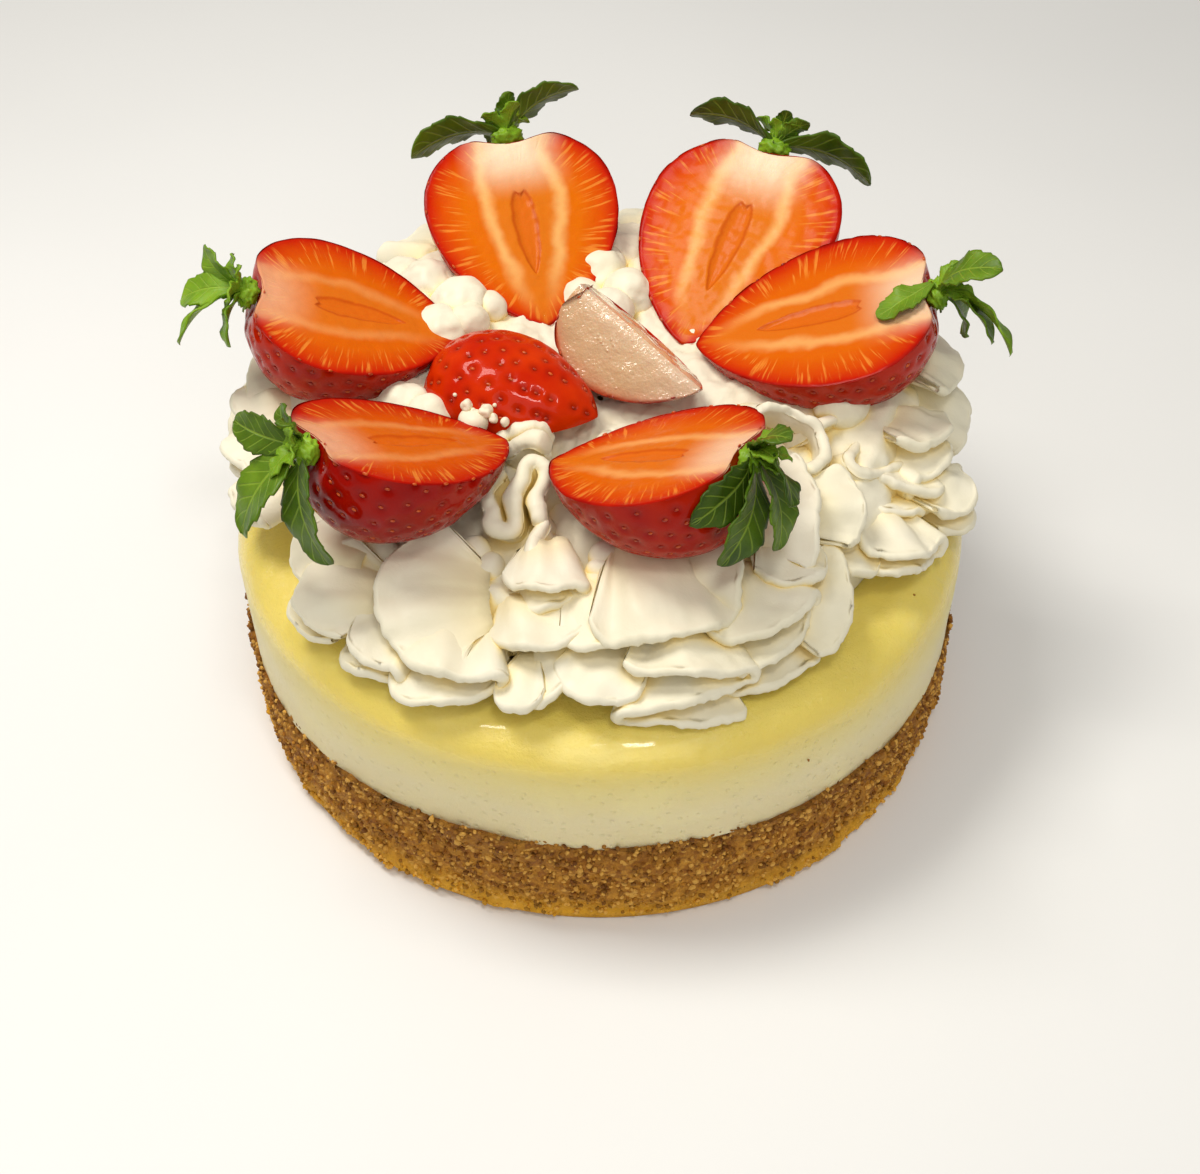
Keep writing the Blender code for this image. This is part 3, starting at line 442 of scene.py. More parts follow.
def filling_material():
    n = Nodes("baked_filling")
    height = n.axis("Z")
    wave = n.math("ADD", height, n.sway(n.noise(14, 3), 0.007))
    color = n.ramp(
        n.range(wave, 0.022, 0.050, soft=False),
        (0.0, 226, 211, 164), (0.35, 230, 217, 170), (0.62, 232, 216, 146),
        (0.82, 231, 208, 104), (1.0, 235, 214, 104),
    )
    patch = n.noise(45, 4, 0.6)
    color = n.mix(n.range(patch, 0.45, 0.75, 0, 0.35), color, (247, 236, 168))
    fleck = n.range(n.cells(330), 0.0, 0.12, 1.0, 0.0)
    sparse = n.range(n.noise(90, 2), 0.56, 0.66)
    color = n.mix(n.times(n.times(fleck, sparse), 0.5), color, (190, 150, 70))
    n.set(Base_Color=color)
    side = n.range(height, 0.040, 0.0465, 1.0, 0.0)
    n.set(Roughness=n.math("ADD", n.times(side, 0.3), n.range(patch, 0.3, 0.7, 0.13, 0.26)))
    n.set(Subsurface_Weight=0.35, Subsurface_Scale=0.0022, Specular_IOR_Level=0.5)
    n.set(Coat_Weight=n.range(side, 0.0, 1.0, 0.5, 0.0), Coat_Roughness=0.07)
    n.shader.inputs["Subsurface Radius"].default_value = (1.0, 0.8, 0.4)
    pores = n.range(n.cells(520), 0.02, 0.3)
    pits = n.times(n.math("SUBTRACT", 1.0, pores), side)
    low = n.bump(n.math("SUBTRACT", n.noise(420, 4, 0.65), pits), 0.5, 0.0006)
    n.bump(n.noise(1300, 4, 0.75), 0.7, 0.0003, low)
    return n.material


def crust_material(name="crumb_crust"):
    n = Nodes(name)
    height = n.axis("Z")
    grain = n.noise(700, 4, 0.7)
    cell = n.cells(620, out="Color")
    color = n.ramp(
        grain,
        (0.3, 112, 62, 12), (0.5, 168, 106, 26), (0.72, 214, 152, 48),
    )
    color = n.mix(0.35, color, n.ramp(cell, (0.2, 140, 84, 22), (0.8, 226, 168, 62)))
    # Painted reflection: the lowest 9 mm is tinted gold, standing in for the gold board under the cake
    # reflecting onto the crust's foot.
    board_reflection = n.range(height, 0.001, 0.009, 0.8, 0.0)
    color = n.mix(board_reflection, color, (242, 180, 44))
    dark = n.range(height, 0.014, 0.023, 0.0, 0.35)
    color = n.mix(dark, color, (116, 68, 18))
    shade = n.mark("shade")
    color = n.mix(n.range(shade, 0.62, 0.8, 0, 0.7), color, (240, 186, 88))
    color = n.mix(n.range(shade, 0.36, 0.1, 0, 0.6), color, (92, 50, 14))
    n.set(Base_Color=color, Roughness=0.72, Specular_IOR_Level=0.3)
    low = n.bump(n.noise(900, 5, 0.75), 0.8, 0.0007)
    n.bump(n.cells(2200), 0.4, 0.0003, low)
    return n.material


def cut_material():
    """The cut face of a strawberry: ring runs from 0 at the rim to 1 at the middle slit."""
    n = Nodes("strawberry_cut")
    ring, arc, pale, tone = n.mark("ring"), n.mark("arc"), n.mark("pale"), n.mark("tone")
    along = n.mark("along")
    soft = n.noise(110, 3)
    shifted = n.math("ADD", ring, n.sway(soft, 0.12))
    red = n.ramp(
        shifted,
        (0.0, 138, 6, 2), (0.05, 176, 20, 1), (0.2, 188, 48, 1),
        (0.45, 198, 76, 2), (0.9, 196, 80, 5),
    )
    orange = n.ramp(
        shifted,
        (0.0, 158, 8, 2), (0.05, 196, 36, 1), (0.18, 212, 82, 1),
        (0.42, 218, 112, 3), (0.9, 212, 106, 9),
    )
    color = n.mix(tone, red, orange)
    streak_place = n.vector(n.times(arc, 1.25), n.times(ring, 2.2), tone)
    streak = n.noise(1.0, 2, 0.5, streak_place)
    band = n.times(n.range(ring, 0.02, 0.12), n.range(ring, 0.46, 0.26))
    streaks = n.times(n.range(streak, 0.54, 0.66), band)
    color = n.mix(n.times(streaks, 0.4), color, (238, 168, 66))
    side = n.math("ADD", n.mark("side"), n.sway(soft, 0.22))
    bulge = n.range(along, 0.02, 0.4, 0.34, 0.5)
    line = n.times(n.math("POWER", n.math("SUBTRACT", 1.0, along, True), 0.6), bulge)
    beyond = n.math("SUBTRACT", side, line)
    heart = n.mix(tone, (202, 96, 16), (214, 122, 28))
    color = n.mix(n.range(beyond, 0.02, -0.10, 0, 0.7), color, heart)
    halo = n.times(n.range(n.math("ABSOLUTE", beyond), 0.12, 0.0), n.range(along, 0.98, 0.6))
    shown = n.times(halo, n.math("ADD", 0.2, n.times(pale, 0.6)))
    color = n.mix(shown, color, (232, 180, 108))
    stem_end = n.times(n.range(along, 0.32, 0.03), n.range(side, 0.62, 0.12))
    shown = n.times(stem_end, n.math("ADD", 0.2, n.times(pale, 0.72)))
    color = n.mix(shown, color, (238, 222, 190))
    torn = n.math("ADD", ring, n.sway(n.noise(300, 3), 0.06))
    wall = n.range(n.math("ABSOLUTE", n.math("SUBTRACT", torn, 0.885)), 0.035, 0.0)
    color = n.mix(n.times(wall, 0.6), color, (178, 60, 8))
    color = n.mix(n.range(torn, 0.87, 0.93, 0, 0.5), color, (206, 92, 16))
    n.set(Base_Color=color)
    n.set(Roughness=n.range(n.noise(500, 3), 0.3, 0.7, 0.3, 0.55))
    n.set(Subsurface_Weight=0.1, Subsurface_Scale=0.0012, Specular_IOR_Level=0.03)
    n.set(Coat_Weight=0.08, Coat_Roughness=0.18)
    n.shader.inputs["Subsurface Radius"].default_value = (1.0, 0.35, 0.12)
    low = n.bump(n.math("ADD", n.noise(260, 4), n.times(streaks, 0.4)), 0.3, 0.0006)
    n.bump(n.noise(1500, 3, 0.65), 0.3, 0.00018, low)
    return n.material


def skin_material():
    n = Nodes("strawberry_skin")
    tone, pit = n.mark("tone"), n.mark("pit")
    patch = n.noise(90, 3)
    color = n.mix(tone, n.ramp(patch, (0.3, 128, 4, 2), (0.7, 160, 10, 2)),
                  n.ramp(patch, (0.3, 190, 26, 1), (0.7, 212, 58, 2)))
    # Painted shade: the skin is darkened in the small pit round each seed, where shade falls.
    color = n.mix(n.times(pit, 0.6), color, (116, 6, 5))
    n.set(Base_Color=color, Roughness=n.range(n.noise(300, 3), 0.3, 0.7, 0.16, 0.3))
    n.set(Specular_IOR_Level=0.04, Coat_Weight=0.22, Coat_Roughness=0.05)
    n.bump(n.noise(700, 3), 0.25, 0.0003)
    return n.material


def pale_material():
    n = Nodes("strawberry_pale")
    ring, along = n.mark("ring"), n.mark("along")
    soft = n.noise(120, 4)
    shifted = n.math("ADD", ring, n.sway(soft, 0.25))
    color = n.ramp(
        shifted,
        (0.0, 190, 84, 50), (0.07, 196, 138, 100), (0.25, 198, 160, 120),
        (0.6, 204, 170, 132), (0.95, 214, 186, 154),
    )
    n.set(Base_Color=n.mix(n.range(along, 0.55, 1.0, 0, 0.35), color, (212, 184, 166)))
    n.set(Roughness=n.range(n.noise(900, 2), 0.35, 0.65, 0.06, 0.26))
    n.set(Subsurface_Weight=0.45, Subsurface_Scale=0.002, Coat_Weight=0.9, Coat_Roughness=0.03)
    n.shader.inputs["Subsurface Radius"].default_value = (1.0, 0.5, 0.35)
    low = n.bump(n.noise(260, 4, 0.6), 0.3, 0.0008)
    drops = n.times(n.range(n.cells(650), 0.30, 0.0), n.range(n.noise(170, 3), 0.46, 0.62))
    n.bump(n.math("ADD", n.noise(1100, 2), drops), 0.6, 0.0004, low)
    return n.material


def seed_material():
    n = Nodes("strawberry_seed")
    color = n.ramp(n.noise(450, 1), (0.4, 150, 30, 6), (0.62, 200, 84, 14))
    n.set(Base_Color=color, Roughness=0.3)
    return n.material


def leaf_material():
    n = Nodes("calyx_green")
    side, along, tone = n.mark("across"), n.mark("along"), n.mark("tone")
    patch = n.noise(140, 4)
    color = n.mix(tone, n.ramp(patch, (0.3, 34, 56, 6), (0.7, 68, 94, 12)),
                  n.ramp(patch, (0.3, 96, 136, 18), (0.7, 142, 180, 40)))
    reach = n.math("ABSOLUTE", side)
    rib = n.range(reach, 0.10, 0.02)
    wave = n.math("SINE", n.times(n.math("SUBTRACT", along, n.times(reach, 0.22)), 44))
    vein = n.times(n.range(wave, 0.8, 1.0), n.range(reach, 1.0, 0.7))
    lines = n.math("MAXIMUM", rib, n.times(vein, 0.7))
    color = n.mix(n.times(lines, 0.45), color, (156, 182, 62))
    n.set(Base_Color=color, Roughness=n.range(n.noise(400, 2), 0.3, 0.7, 0.34, 0.5))
    n.set(Subsurface_Weight=0.1, Subsurface_Scale=0.001, Specular_IOR_Level=0.25)
    low = n.bump(n.math("SUBTRACT", 1.0, lines), 0.5, 0.0004)
    n.bump(n.noise(900, 3), 0.35, 0.0003, low)
    return n.material


def floor_material():
    n = Nodes("pale_floor")
    n.set(Base_Color=n.ramp(n.noise(6, 2), (0.3, 231.11, 231.11, 229.83), (0.7, 234.9, 234.9, 233.65)))
    n.set(Roughness=0.6, Specular_IOR_Level=0.25)
    n.bump(n.noise(300, 2), 0.05, 0.0005)
    return n.material


def ribbon(path, face, normal, depth, seed, into, stout=1.0):
    """A rounded ribbon whose free edge runs along the path, added to the mesh being gathered."""
    length = np.concatenate([[0], np.cumsum(np.linalg.norm(np.diff(path, axis=0), axis=1))])
    tangent = unit(np.gradient(path, axis=0))
    ends = np.minimum(length, length[-1] - length)
    taper = 0.45 + 0.55 * np.sqrt(np.clip(ends / 2.2, 0, 1))
    ragged = wobble(path, 1.7, seed + 40) * 0.34 + wobble(path, 0.8, seed + 41) * 0.2
    thin = wobble(path, 6, seed + 42)
    stations = np.concatenate([np.linspace(0, 0.3, 6), np.linspace(0.4, 1, 5)])
    upper, lower = [], []
    depth_here = depth * (0.8 + 0.2 * taper)
    for s in stations:
        bend = RIBBON_BEND * s
        inward = -face * math.cos(bend / 2) - normal * math.sin(bend / 2)
        slope = -face * math.cos(bend) - normal * math.sin(bend)
        side = unit(np.cross(tangent, slope))
        swell = 1 - LIP_SWELL * math.sin(math.pi * min(1.0, s / 0.6)) ** 2
        thick = (RIBBON_RIM + (RIBBON_ROOT - RIBBON_RIM) * s) * swell
        radius = thick * (0.95 + 0.22 * thin) * taper * stout / 2
        reach = np.maximum(depth_here * s, radius)
        place = path + inward * reach[:, None] + face * (ragged * (1 - s) ** 3)[:, None]
        place = place + normal * (LIP_RISE * np.exp(-((reach / LIP_REACH) ** 2)))[:, None]
        upper.append(place + side * radius[:, None])
        lower.append(place - side * radius[:, None])
        if s == 0:
            centre, side0, radius0 = place, side, radius
    cap = []
    for a in np.radians([60, 30, 0, -30, -60]):
        ahead, aside = radius0 * math.cos(a), radius0 * math.sin(a)
        cap.append(centre + face * ahead[:, None] + side0 * aside[:, None])
    rings = np.stack([*reversed(upper), *cap, *lower], 1)
    count, around = rings.shape[:2]
    points = rings.reshape(-1, 3)
    quads = grid_faces(count, around, wrap=True)
    faces = [tuple(f) for f in quads]
    faces += [tuple(range(around)), tuple(range((count - 1) * around, count * around))[::-1]]
    out = normals_of(points, quads)
    relief = wobble(points, 3.2, seed, 2) * 0.22
    # Painted shade: a mark that grows towards the root of each sheet, where it runs in between the
    # folds, so the cream is tinted warm yellow there.
    deep = np.concatenate([stations[::-1], np.zeros(5), stations])
    crease = np.tile(smooth((deep - 0.25) / 0.7), count) * 0.35
    up = normal if normal.ndim == 1 else np.repeat(normal, around, axis=0)
    wave = wobble(points, SHEET_WAVE_SIZE, seed + 50, 2) * SHEET_WAVE
    into.add(points + out * relief[:, None] + up * wave[:, None], faces, crease=crease)


def corner_drop(side, half, sweep):
    """How far a free end has turned in towards the root, where its corner is rounded off."""
    corner = min(RIBBON_CORNER, 0.6 * half) * min(1.0, sweep / FULL_CORNER_SWEEP)
    over = max(0.0, abs(side) - (half - corner))
    return corner - math.sqrt(max(0.0, corner**2 - over**2))


def fold_path(start, lateral, face, normal, half, passes, pitch, advance, sweep, seed):
    """The free edge of a ribbon laid to and fro in arcs, with rounded half turns between."""
    turn = pitch / 2
    swing = math.radians(sweep) / 2
    bow = half / math.sin(swing)
    whole = 2 * half + math.pi * turn
    points, across = [], []
    for k in range(passes):
        sign = 1 if k % 2 == 0 else -1
        for s in np.sin(np.linspace(-math.pi / 2, math.pi / 2, max(24, int(6 * bow * swing / FINE)))):
            side = bow * math.sin(s * swing)
            out = advance * (k + side / whole) + bow * (math.cos(s * swing) - 1)
            if (k == 0 and s < 0) or (k == passes - 1 and s > 0):
                out -= corner_drop(side, half, sweep)
            rise = -k * pitch + CAMBER_SHARE * half * math.cos(math.pi * s / 2) ** 2
            points.append(start + lateral * (sign * side) + normal * rise + face * out)
            across.append(sign * side)
        if k == passes - 1:
            break
        for a in np.linspace(0, math.pi, max(5, int(math.pi * turn / FINE)) + 2)[1:-1]:
            side = half + turn * math.sin(a)
            out = advance * (k + (half + turn * a) / whole) + bow * (math.cos(swing) - 1)
            rise = -k * pitch - turn * (1 - math.cos(a))
            points.append(start + lateral * (sign * side) + normal * rise + face * out)
            across.append(sign * side)
    line = evened(np.column_stack([points, across]), FINE)
    points, across = line[:, :3], line[:, 3:]
    sway = np.stack([wobble(points, 8, seed + k) for k in range(2)], 1)
    return points + face * sway[:, :1] * 1.2 + normal * sway[:, 1:] * 1.3, across


def radial(angle):
    return np.array((math.cos(math.radians(angle)), math.sin(math.radians(angle)), 0.0))


def add_ribbon(start, lateral, face, normal, half, passes, pitch, advance, sheet, sweep, seed, into,
               stout=1.0):
    """A whole fold: its free edge, and the sheet that runs in from it to a narrower root."""
    path, across = fold_path(start, lateral, face, normal, half, passes, pitch, advance, sweep, seed)
    nearness = np.linspace(0, 1, len(path))
    reach = np.where(nearness < 1 / passes, sheet, FOLD_DEPTH)
    reach = np.convolve(np.pad(reach, 6, mode="edge"), np.ones(13) / 13, "valid")[:, None]
    inner = lateral * across * (1 - ROOT_SHARE) + face * (reach + ((path - start) @ face)[:, None])
    depth = np.linalg.norm(inner, axis=1)
    ribbon(path, unit(inner), normal, np.minimum(depth, reach[:, 0]), seed, into, stout)


def on_slope(place, heading):
    """The way out of the slope at a place, and the heading laid along the slope."""
    surface = unit(place * [1, 1, 0]) * math.sin(SLOPE) + Z * math.cos(SLOPE)
    ahead = radial(heading)
    return surface, unit(ahead - surface * (ahead @ surface))


def add_loop(loop, seed, into):
    """A ribbon that stands in a bend and leans out of it on the way down."""
    place, heading, length, width, first, last, depth = loop
    place = np.array(place)
    surface, ahead = on_slope(place, heading)
    lateral = np.cross(surface, ahead)
    turn = np.radians(np.linspace(first, last, 240))[:, None]
    spots = place + ahead * length * np.cos(turn) + lateral * width * np.sin(turn)
    outer = unit(ahead * width * np.cos(turn) + lateral * length * np.sin(turn))
    line = evened(np.column_stack([spots, outer]), FINE)
    path, outer = line[:, :3], unit(line[:, 3:])
    run = np.arange(len(path)) * FINE
    near_end = np.maximum(0.0, LOOP_CORNER - np.minimum(run, run[-1] - run))
    drop = LOOP_CORNER - np.sqrt(LOOP_CORNER**2 - near_end**2)
    path = path - surface * drop[:, None]
    path = path + outer * wobble(path, 8, seed)[:, None] + surface * wobble(path, 8, seed + 1)[:, None]
    ribbon(path, surface, -outer, np.full(len(path), float(depth)), seed, into)


def add_fold(fold, seed, into):
    place, heading, lift, passes, half, advance, sheet, sweep = fold
    place = np.array(place)
    surface, ahead = on_slope(place, heading)
    lift = math.radians(lift)
    face = ahead * math.cos(lift) + surface * math.sin(lift)
    normal = surface * math.cos(lift) - ahead * math.sin(lift)
    lateral = np.cross(surface, ahead)
    add_ribbon(place, lateral, face, normal, half, passes, FOLD_PITCH, advance, sheet, sweep, seed,
               into)


def add_frill(frill, seed, into):
    place, heading, fall, passes, half, spacing, lean, depth, sweep = frill
    fall = math.radians(fall)
    down = radial(heading) * math.cos(fall) - Z * math.sin(fall)
    right = unit(np.cross(Z, down))
    normal = np.cross(down, right)
    lean = math.radians(lean)
    face = right * math.cos(lean) + normal * math.sin(lean)
    step = right * spacing
    pitch_vector = step - face * (step @ face)
    pitch = np.linalg.norm(pitch_vector)
    place, advance = np.array(place, float), step @ face
    add_ribbon(place, down, face, -unit(pitch_vector), half, passes, pitch, advance, depth, sweep,
               seed, into, FRILL_STOUTNESS)


def add_side_fold(fold, seed, into):
    """A taller fold of the sides and the back, by the radius and height of its ends."""
    angle, first, last, passes, half, sheet, lean, sweep = fold
    outward = radial(angle)
    first = outward * first[0] + Z * first[1]
    last = outward * last[0] + Z * last[1]
    step = (last - first) / (passes - 1)
    slope = math.atan2(-step[2], step @ outward)
    dip = slope - math.asin(min(1.0, BACK_PITCH / np.linalg.norm(step)))
    face = outward * math.cos(dip) - Z * math.sin(dip)
    normal = outward * math.sin(dip) + Z * math.cos(dip)
    lateral = turned(np.cross(Z, outward), lean, face)
    add_ribbon(first, lateral, face, turned(normal, lean, face), half, passes, BACK_PITCH, step @ face,
               sheet, sweep, seed, into)


def back_folds():
    draw = random.Random(BACK_SEED)
    for i in range(BACK_FOLDS):
        angle = BACK_FROM + (BACK_TO - BACK_FROM) * i / (BACK_FOLDS - 1)
        angle += draw.uniform(-1, 1) * BACK_JITTER
        first = tuple(size + draw.uniform(-1, 1) * BACK_JITTER for size in BACK_FIRST)
        last = tuple(size + draw.uniform(-1, 0) * BACK_JITTER for size in BACK_LAST)
        half = BACK_HALF + draw.uniform(-0.5, 0.5) * BACK_JITTER
        lean = draw.uniform(-1, 1) * BACK_LEAN
        yield angle, first, last, BACK_PASSES, half, BACK_SHEET, lean, BACK_SWEEP


def add_lump(place, radius, seed, into):
    shape, triangles = ball(4)
    bumps = wobble(shape * radius, 5.0, seed, 2) * 0.13 + wobble(shape * radius, 2.2, seed + 1) * 0.03
    flattened = shape * np.array((1, 1, 0.85))
    into.add(flattened * (radius * (1 + bumps))[:, None] + np.array(place), triangles)


def core_spot(turn, part):
    """The heap under the folds at an angle, and at a part of its radius there."""
    front = np.maximum(0.0, np.cos(turn - math.radians(270))) ** 0.6
    radius = part * (CORE_RADIUS + (CORE_FRONT_RADIUS - CORE_RADIUS) * front)
    rim = CORE_RIM + (CORE_FRONT_TOP - CORE_RIM) * front
    climb = np.sin(math.pi / 2 * np.minimum(1.0, part / 0.8)) ** 2
    height = CORE_TOP + (rim - CORE_TOP) * climb - 6 * np.maximum(0.0, (part - 0.9) / 0.1)
    return np.stack([radius * np.cos(turn), radius * np.sin(turn), height], -1)


def make_flecks(material):
    """The small flecks of cream on the strawberry in the middle."""
    into = Mesh("crease")
    shape, triangles = ball(3)
    for i, (place, radius) in enumerate(FLECKS):
        bumps = wobble(shape * radius, 1.1, 140 + i, 1) * 0.3
        into.add(shape * (radius * (1 + bumps))[:, None] + np.array(place), triangles)
    obj = into.make("cream_flecks", material)
    return obj


def make_cream(material):
    into = Mesh("crease")
    turn = full_turn(CORE_TURNS)
    turns, parts = np.meshgrid(turn, np.linspace(0.01, 1, CORE_ROWS))
    spots = core_spot(turns, parts).reshape(-1, 3)
    foot = spots[-CORE_TURNS:].copy()
    foot[:, 2] = FILLING_TOP + 0.05
    points = np.concatenate([spots, foot])
    faces = grid_faces(CORE_ROWS + 1, CORE_TURNS, wrap=True)
    lumps = wobble(points, 8, 3, 3) * 1.3 + np.abs(wobble(points, 4, 9, 2)) * 0.9 - 0.5
    lumps[-CORE_TURNS:] = 0
    out = normals_of(points, faces)
    into.add(points + out * np.where(out[:, 2:] < 0, -1, 1) * lumps[:, None], faces)
    for i, fold in enumerate(FRONT_FOLDS):
        add_fold(fold, 11 + i, into)
    for i, fold in enumerate(back_folds()):
        add_side_fold(fold, 41 + i, into)
    for i, frill in enumerate(FRILLS):
        add_frill(frill, 61 + i, into)
    for i, loop in enumerate(LOOPS):
        add_loop(loop, 71 + 2 * i, into)
    for i, (place, radius) in enumerate(LUMPS + CLEFTS):
        add_lump(place, radius, 81 + 2 * i, into)
    obj = into.make("cream_folds", material)
    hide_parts("cream")
    return obj


def seam_height(turn):
    wave = np.sin(3 * turn + 0.6) + 0.7 * np.sin(7 * turn + 2.1) + 0.5 * np.sin(13 * turn)
    return CRUST_HEIGHT + SEAM_WAVE * wave / 2


def make_filling(material):
    count = FILLING_TURNS
    turn = full_turn(count)
    seam = seam_height(turn)
    rows = []
    for level in np.linspace(0, 1, FILLING_SIDE_ROWS):
        height = (seam - 0.6) * (1 - level) + (FILLING_TOP - SHOULDER_DROP) * level
        rows.append((np.full(count, FILLING_RADIUS), height))
    for a in np.linspace(0, math.pi / 2, FILLING_SHOULDER_ROWS)[1:]:
        rows.append((np.full(count, FILLING_RADIUS - SHOULDER_RADIUS * (1 - math.cos(a))),
                     np.full(count, FILLING_TOP - SHOULDER_DROP * (1 - math.sin(a)))))
    for radius in np.linspace(FILLING_RADIUS - SHOULDER_RADIUS, 1, FILLING_TOP_ROWS)[1:]:
        rows.append((np.full(count, radius), np.full(count, FILLING_TOP)))
    points = np.array([[r * np.cos(turn), r * np.sin(turn), z] for r, z in rows])
    points = points.transpose(0, 2, 1).reshape(-1, 3)
    faces = grid_faces(len(rows), count, wrap=True)
    out = normals_of(points, faces)
    push = wobble(points, 16, 2, 2) * 0.35 + wobble(points, 2.2, 5) * 0.06 - 0.2
    into = Mesh()
    into.add(points + out * push[:, None], faces)
    obj = into.make("filling_baked", material)
    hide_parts("filling")
    return obj


def crust_side(turn, level):
    """A place on the craggy side of the crust, at a level from 0 at its foot to 1 at the seam."""
    coarse = np.sin(11 * turn + 3.1 * level) * np.sin(5 * turn - 1.7 * level)
    fine = np.sin(23 * turn + 9.0 * level + 0.5) * np.cos(17 * turn - 5.0 * level)
    radius = CRUST_RADIUS - CRAG_DEPTH + CRAG_DEPTH * (coarse + fine)
    z = CRUST_CHAMFER + (seam_height(turn) - CRUST_CHAMFER) * level
    return np.stack([radius * np.cos(turn), radius * np.sin(turn), z], -1)


def make_crust(material, grain_material):
    """The pressed crust, and the grains of crumb on it as one more piece."""
    count, rows = CRUST_TURNS, CRUST_ROWS
    turn = full_turn(count)
    bottom = np.stack([(CRUST_RADIUS - CRUST_CHAMFER) * np.cos(turn),
                       (CRUST_RADIUS - CRUST_CHAMFER) * np.sin(turn), np.zeros(count)], -1)
    middle = bottom * [0.01, 0.01, 1]
    sides = [crust_side(turn, level) for level in np.linspace(0, 1, rows)]
    top = np.stack([CRUST_TOP_RADIUS * np.cos(turn), CRUST_TOP_RADIUS * np.sin(turn),
                    np.full(count, CRUST_HEIGHT)], -1)
    points = np.concatenate([middle, bottom, *sides, top])
    faces = grid_faces(rows + 3, count, wrap=True)
    out = normals_of(points, faces)
    push = wobble(points, 2.6, 4, 2) * 0.35 + wobble(points, 1.1, 6, 2) * 0.38 - 0.25
    push[: 2 * count] = 0
    into = Mesh("shade")
    into.add(points + out * push[:, None], faces, shade=0.5 + wobble(points, 1.3, 8, 2) * 0.45)
    obj = into.make("crust_pressed", material)
    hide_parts("crust")

    draw = np.random.default_rng(12)
    grains = Mesh("shade")
    shape, triangles = ball(0)
    turns = draw.uniform(0, math.tau, GRAINS)
    levels = draw.uniform(0.0, 1.03, GRAINS) ** 0.95
    spots = crust_side(turns, levels)
    for i in range(GRAINS):
        size = draw.uniform(*GRAIN_SIZES) * (1.25 if draw.random() < 0.08 else 1)
        scale = size * draw.uniform(0.7, 1.3, 3)
        spin = np.array(Matrix.Rotation(draw.uniform(0, 6), 3, Vector(draw.normal(size=3))))
        rough = shape * (1 + draw.uniform(-0.25, 0.25, (12, 1)))
        inset = radial(math.degrees(turns[i])) * (0.25 * size)
        grains.add((rough * scale) @ spin.T + spots[i] - inset, triangles, shade=draw.random())
    for _ in range(LOOSE_CRUMBS):
        turn, radius = draw.uniform(0, math.tau), draw.uniform(70, 75.2)
        height = draw.uniform(26, 42) if radius > 74.4 else FILLING_TOP - 1.0
        radius = FILLING_RADIUS if radius > 74.4 else radius - 4
        size = draw.uniform(*LOOSE_SIZES)
        rough = shape * (1 + draw.uniform(-0.3, 0.3, (12, 1))) * size
        grains.add(rough + radial(math.degrees(turn)) * radius + Z * height, triangles, shade=0.6)
    crumbs = grains.make("crust_crumbs", grain_material)
    return [obj, crumbs]


def frame_of(berry):
    """Rows are the berry's own axes in the world: calyx to tip, side, out of the cut face."""
    calyx = np.array(berry[1], float)
    axis = unit(np.array(berry[2], float) - calyx)
    face = unit(Z - (Z @ axis) * axis)
    side = np.cross(face, axis)
    face = turned(face, berry[5] * (1 if side[1] > 0 else -1), axis)
    return np.stack([axis, np.cross(face, axis), face]), calyx


def to_world(berry, points):
    axes, origin = frame_of(berry)
    return points @ axes + origin


def length_of(berry):
    return float(np.linalg.norm(np.array(berry[2], float) - np.array(berry[1], float)))


def outline_of(berry):
    """(place along the axis, half width) from the calyx pole to the tip pole."""
    length, half = length_of(berry), berry[3] / 2
    widest = BERRY_WIDEST * length
    out = [(0.0, 0.0)]
    for a in np.linspace(0, math.pi / 2, SHOULDER_STEPS + 1)[1:]:
        width = half * math.sin(a) ** SHOULDER_FULLNESS
        place = -BERRY_DIMPLE + (widest + BERRY_DIMPLE) * (1 - math.cos(a))
        near_stem = max(0.0, 1 - (width / (0.5 * half)) ** 2)
        out.append((place + BERRY_DIMPLE * near_stem**2, width))
    for a in np.linspace(0, math.pi / 2, TIP_STEPS + 1)[1:-1]:
        out.append((widest + (length - widest) * math.sin(a), half * math.cos(a) ** TIP_TAPER))
    out.append((length, 0.0))
    return np.array(out)


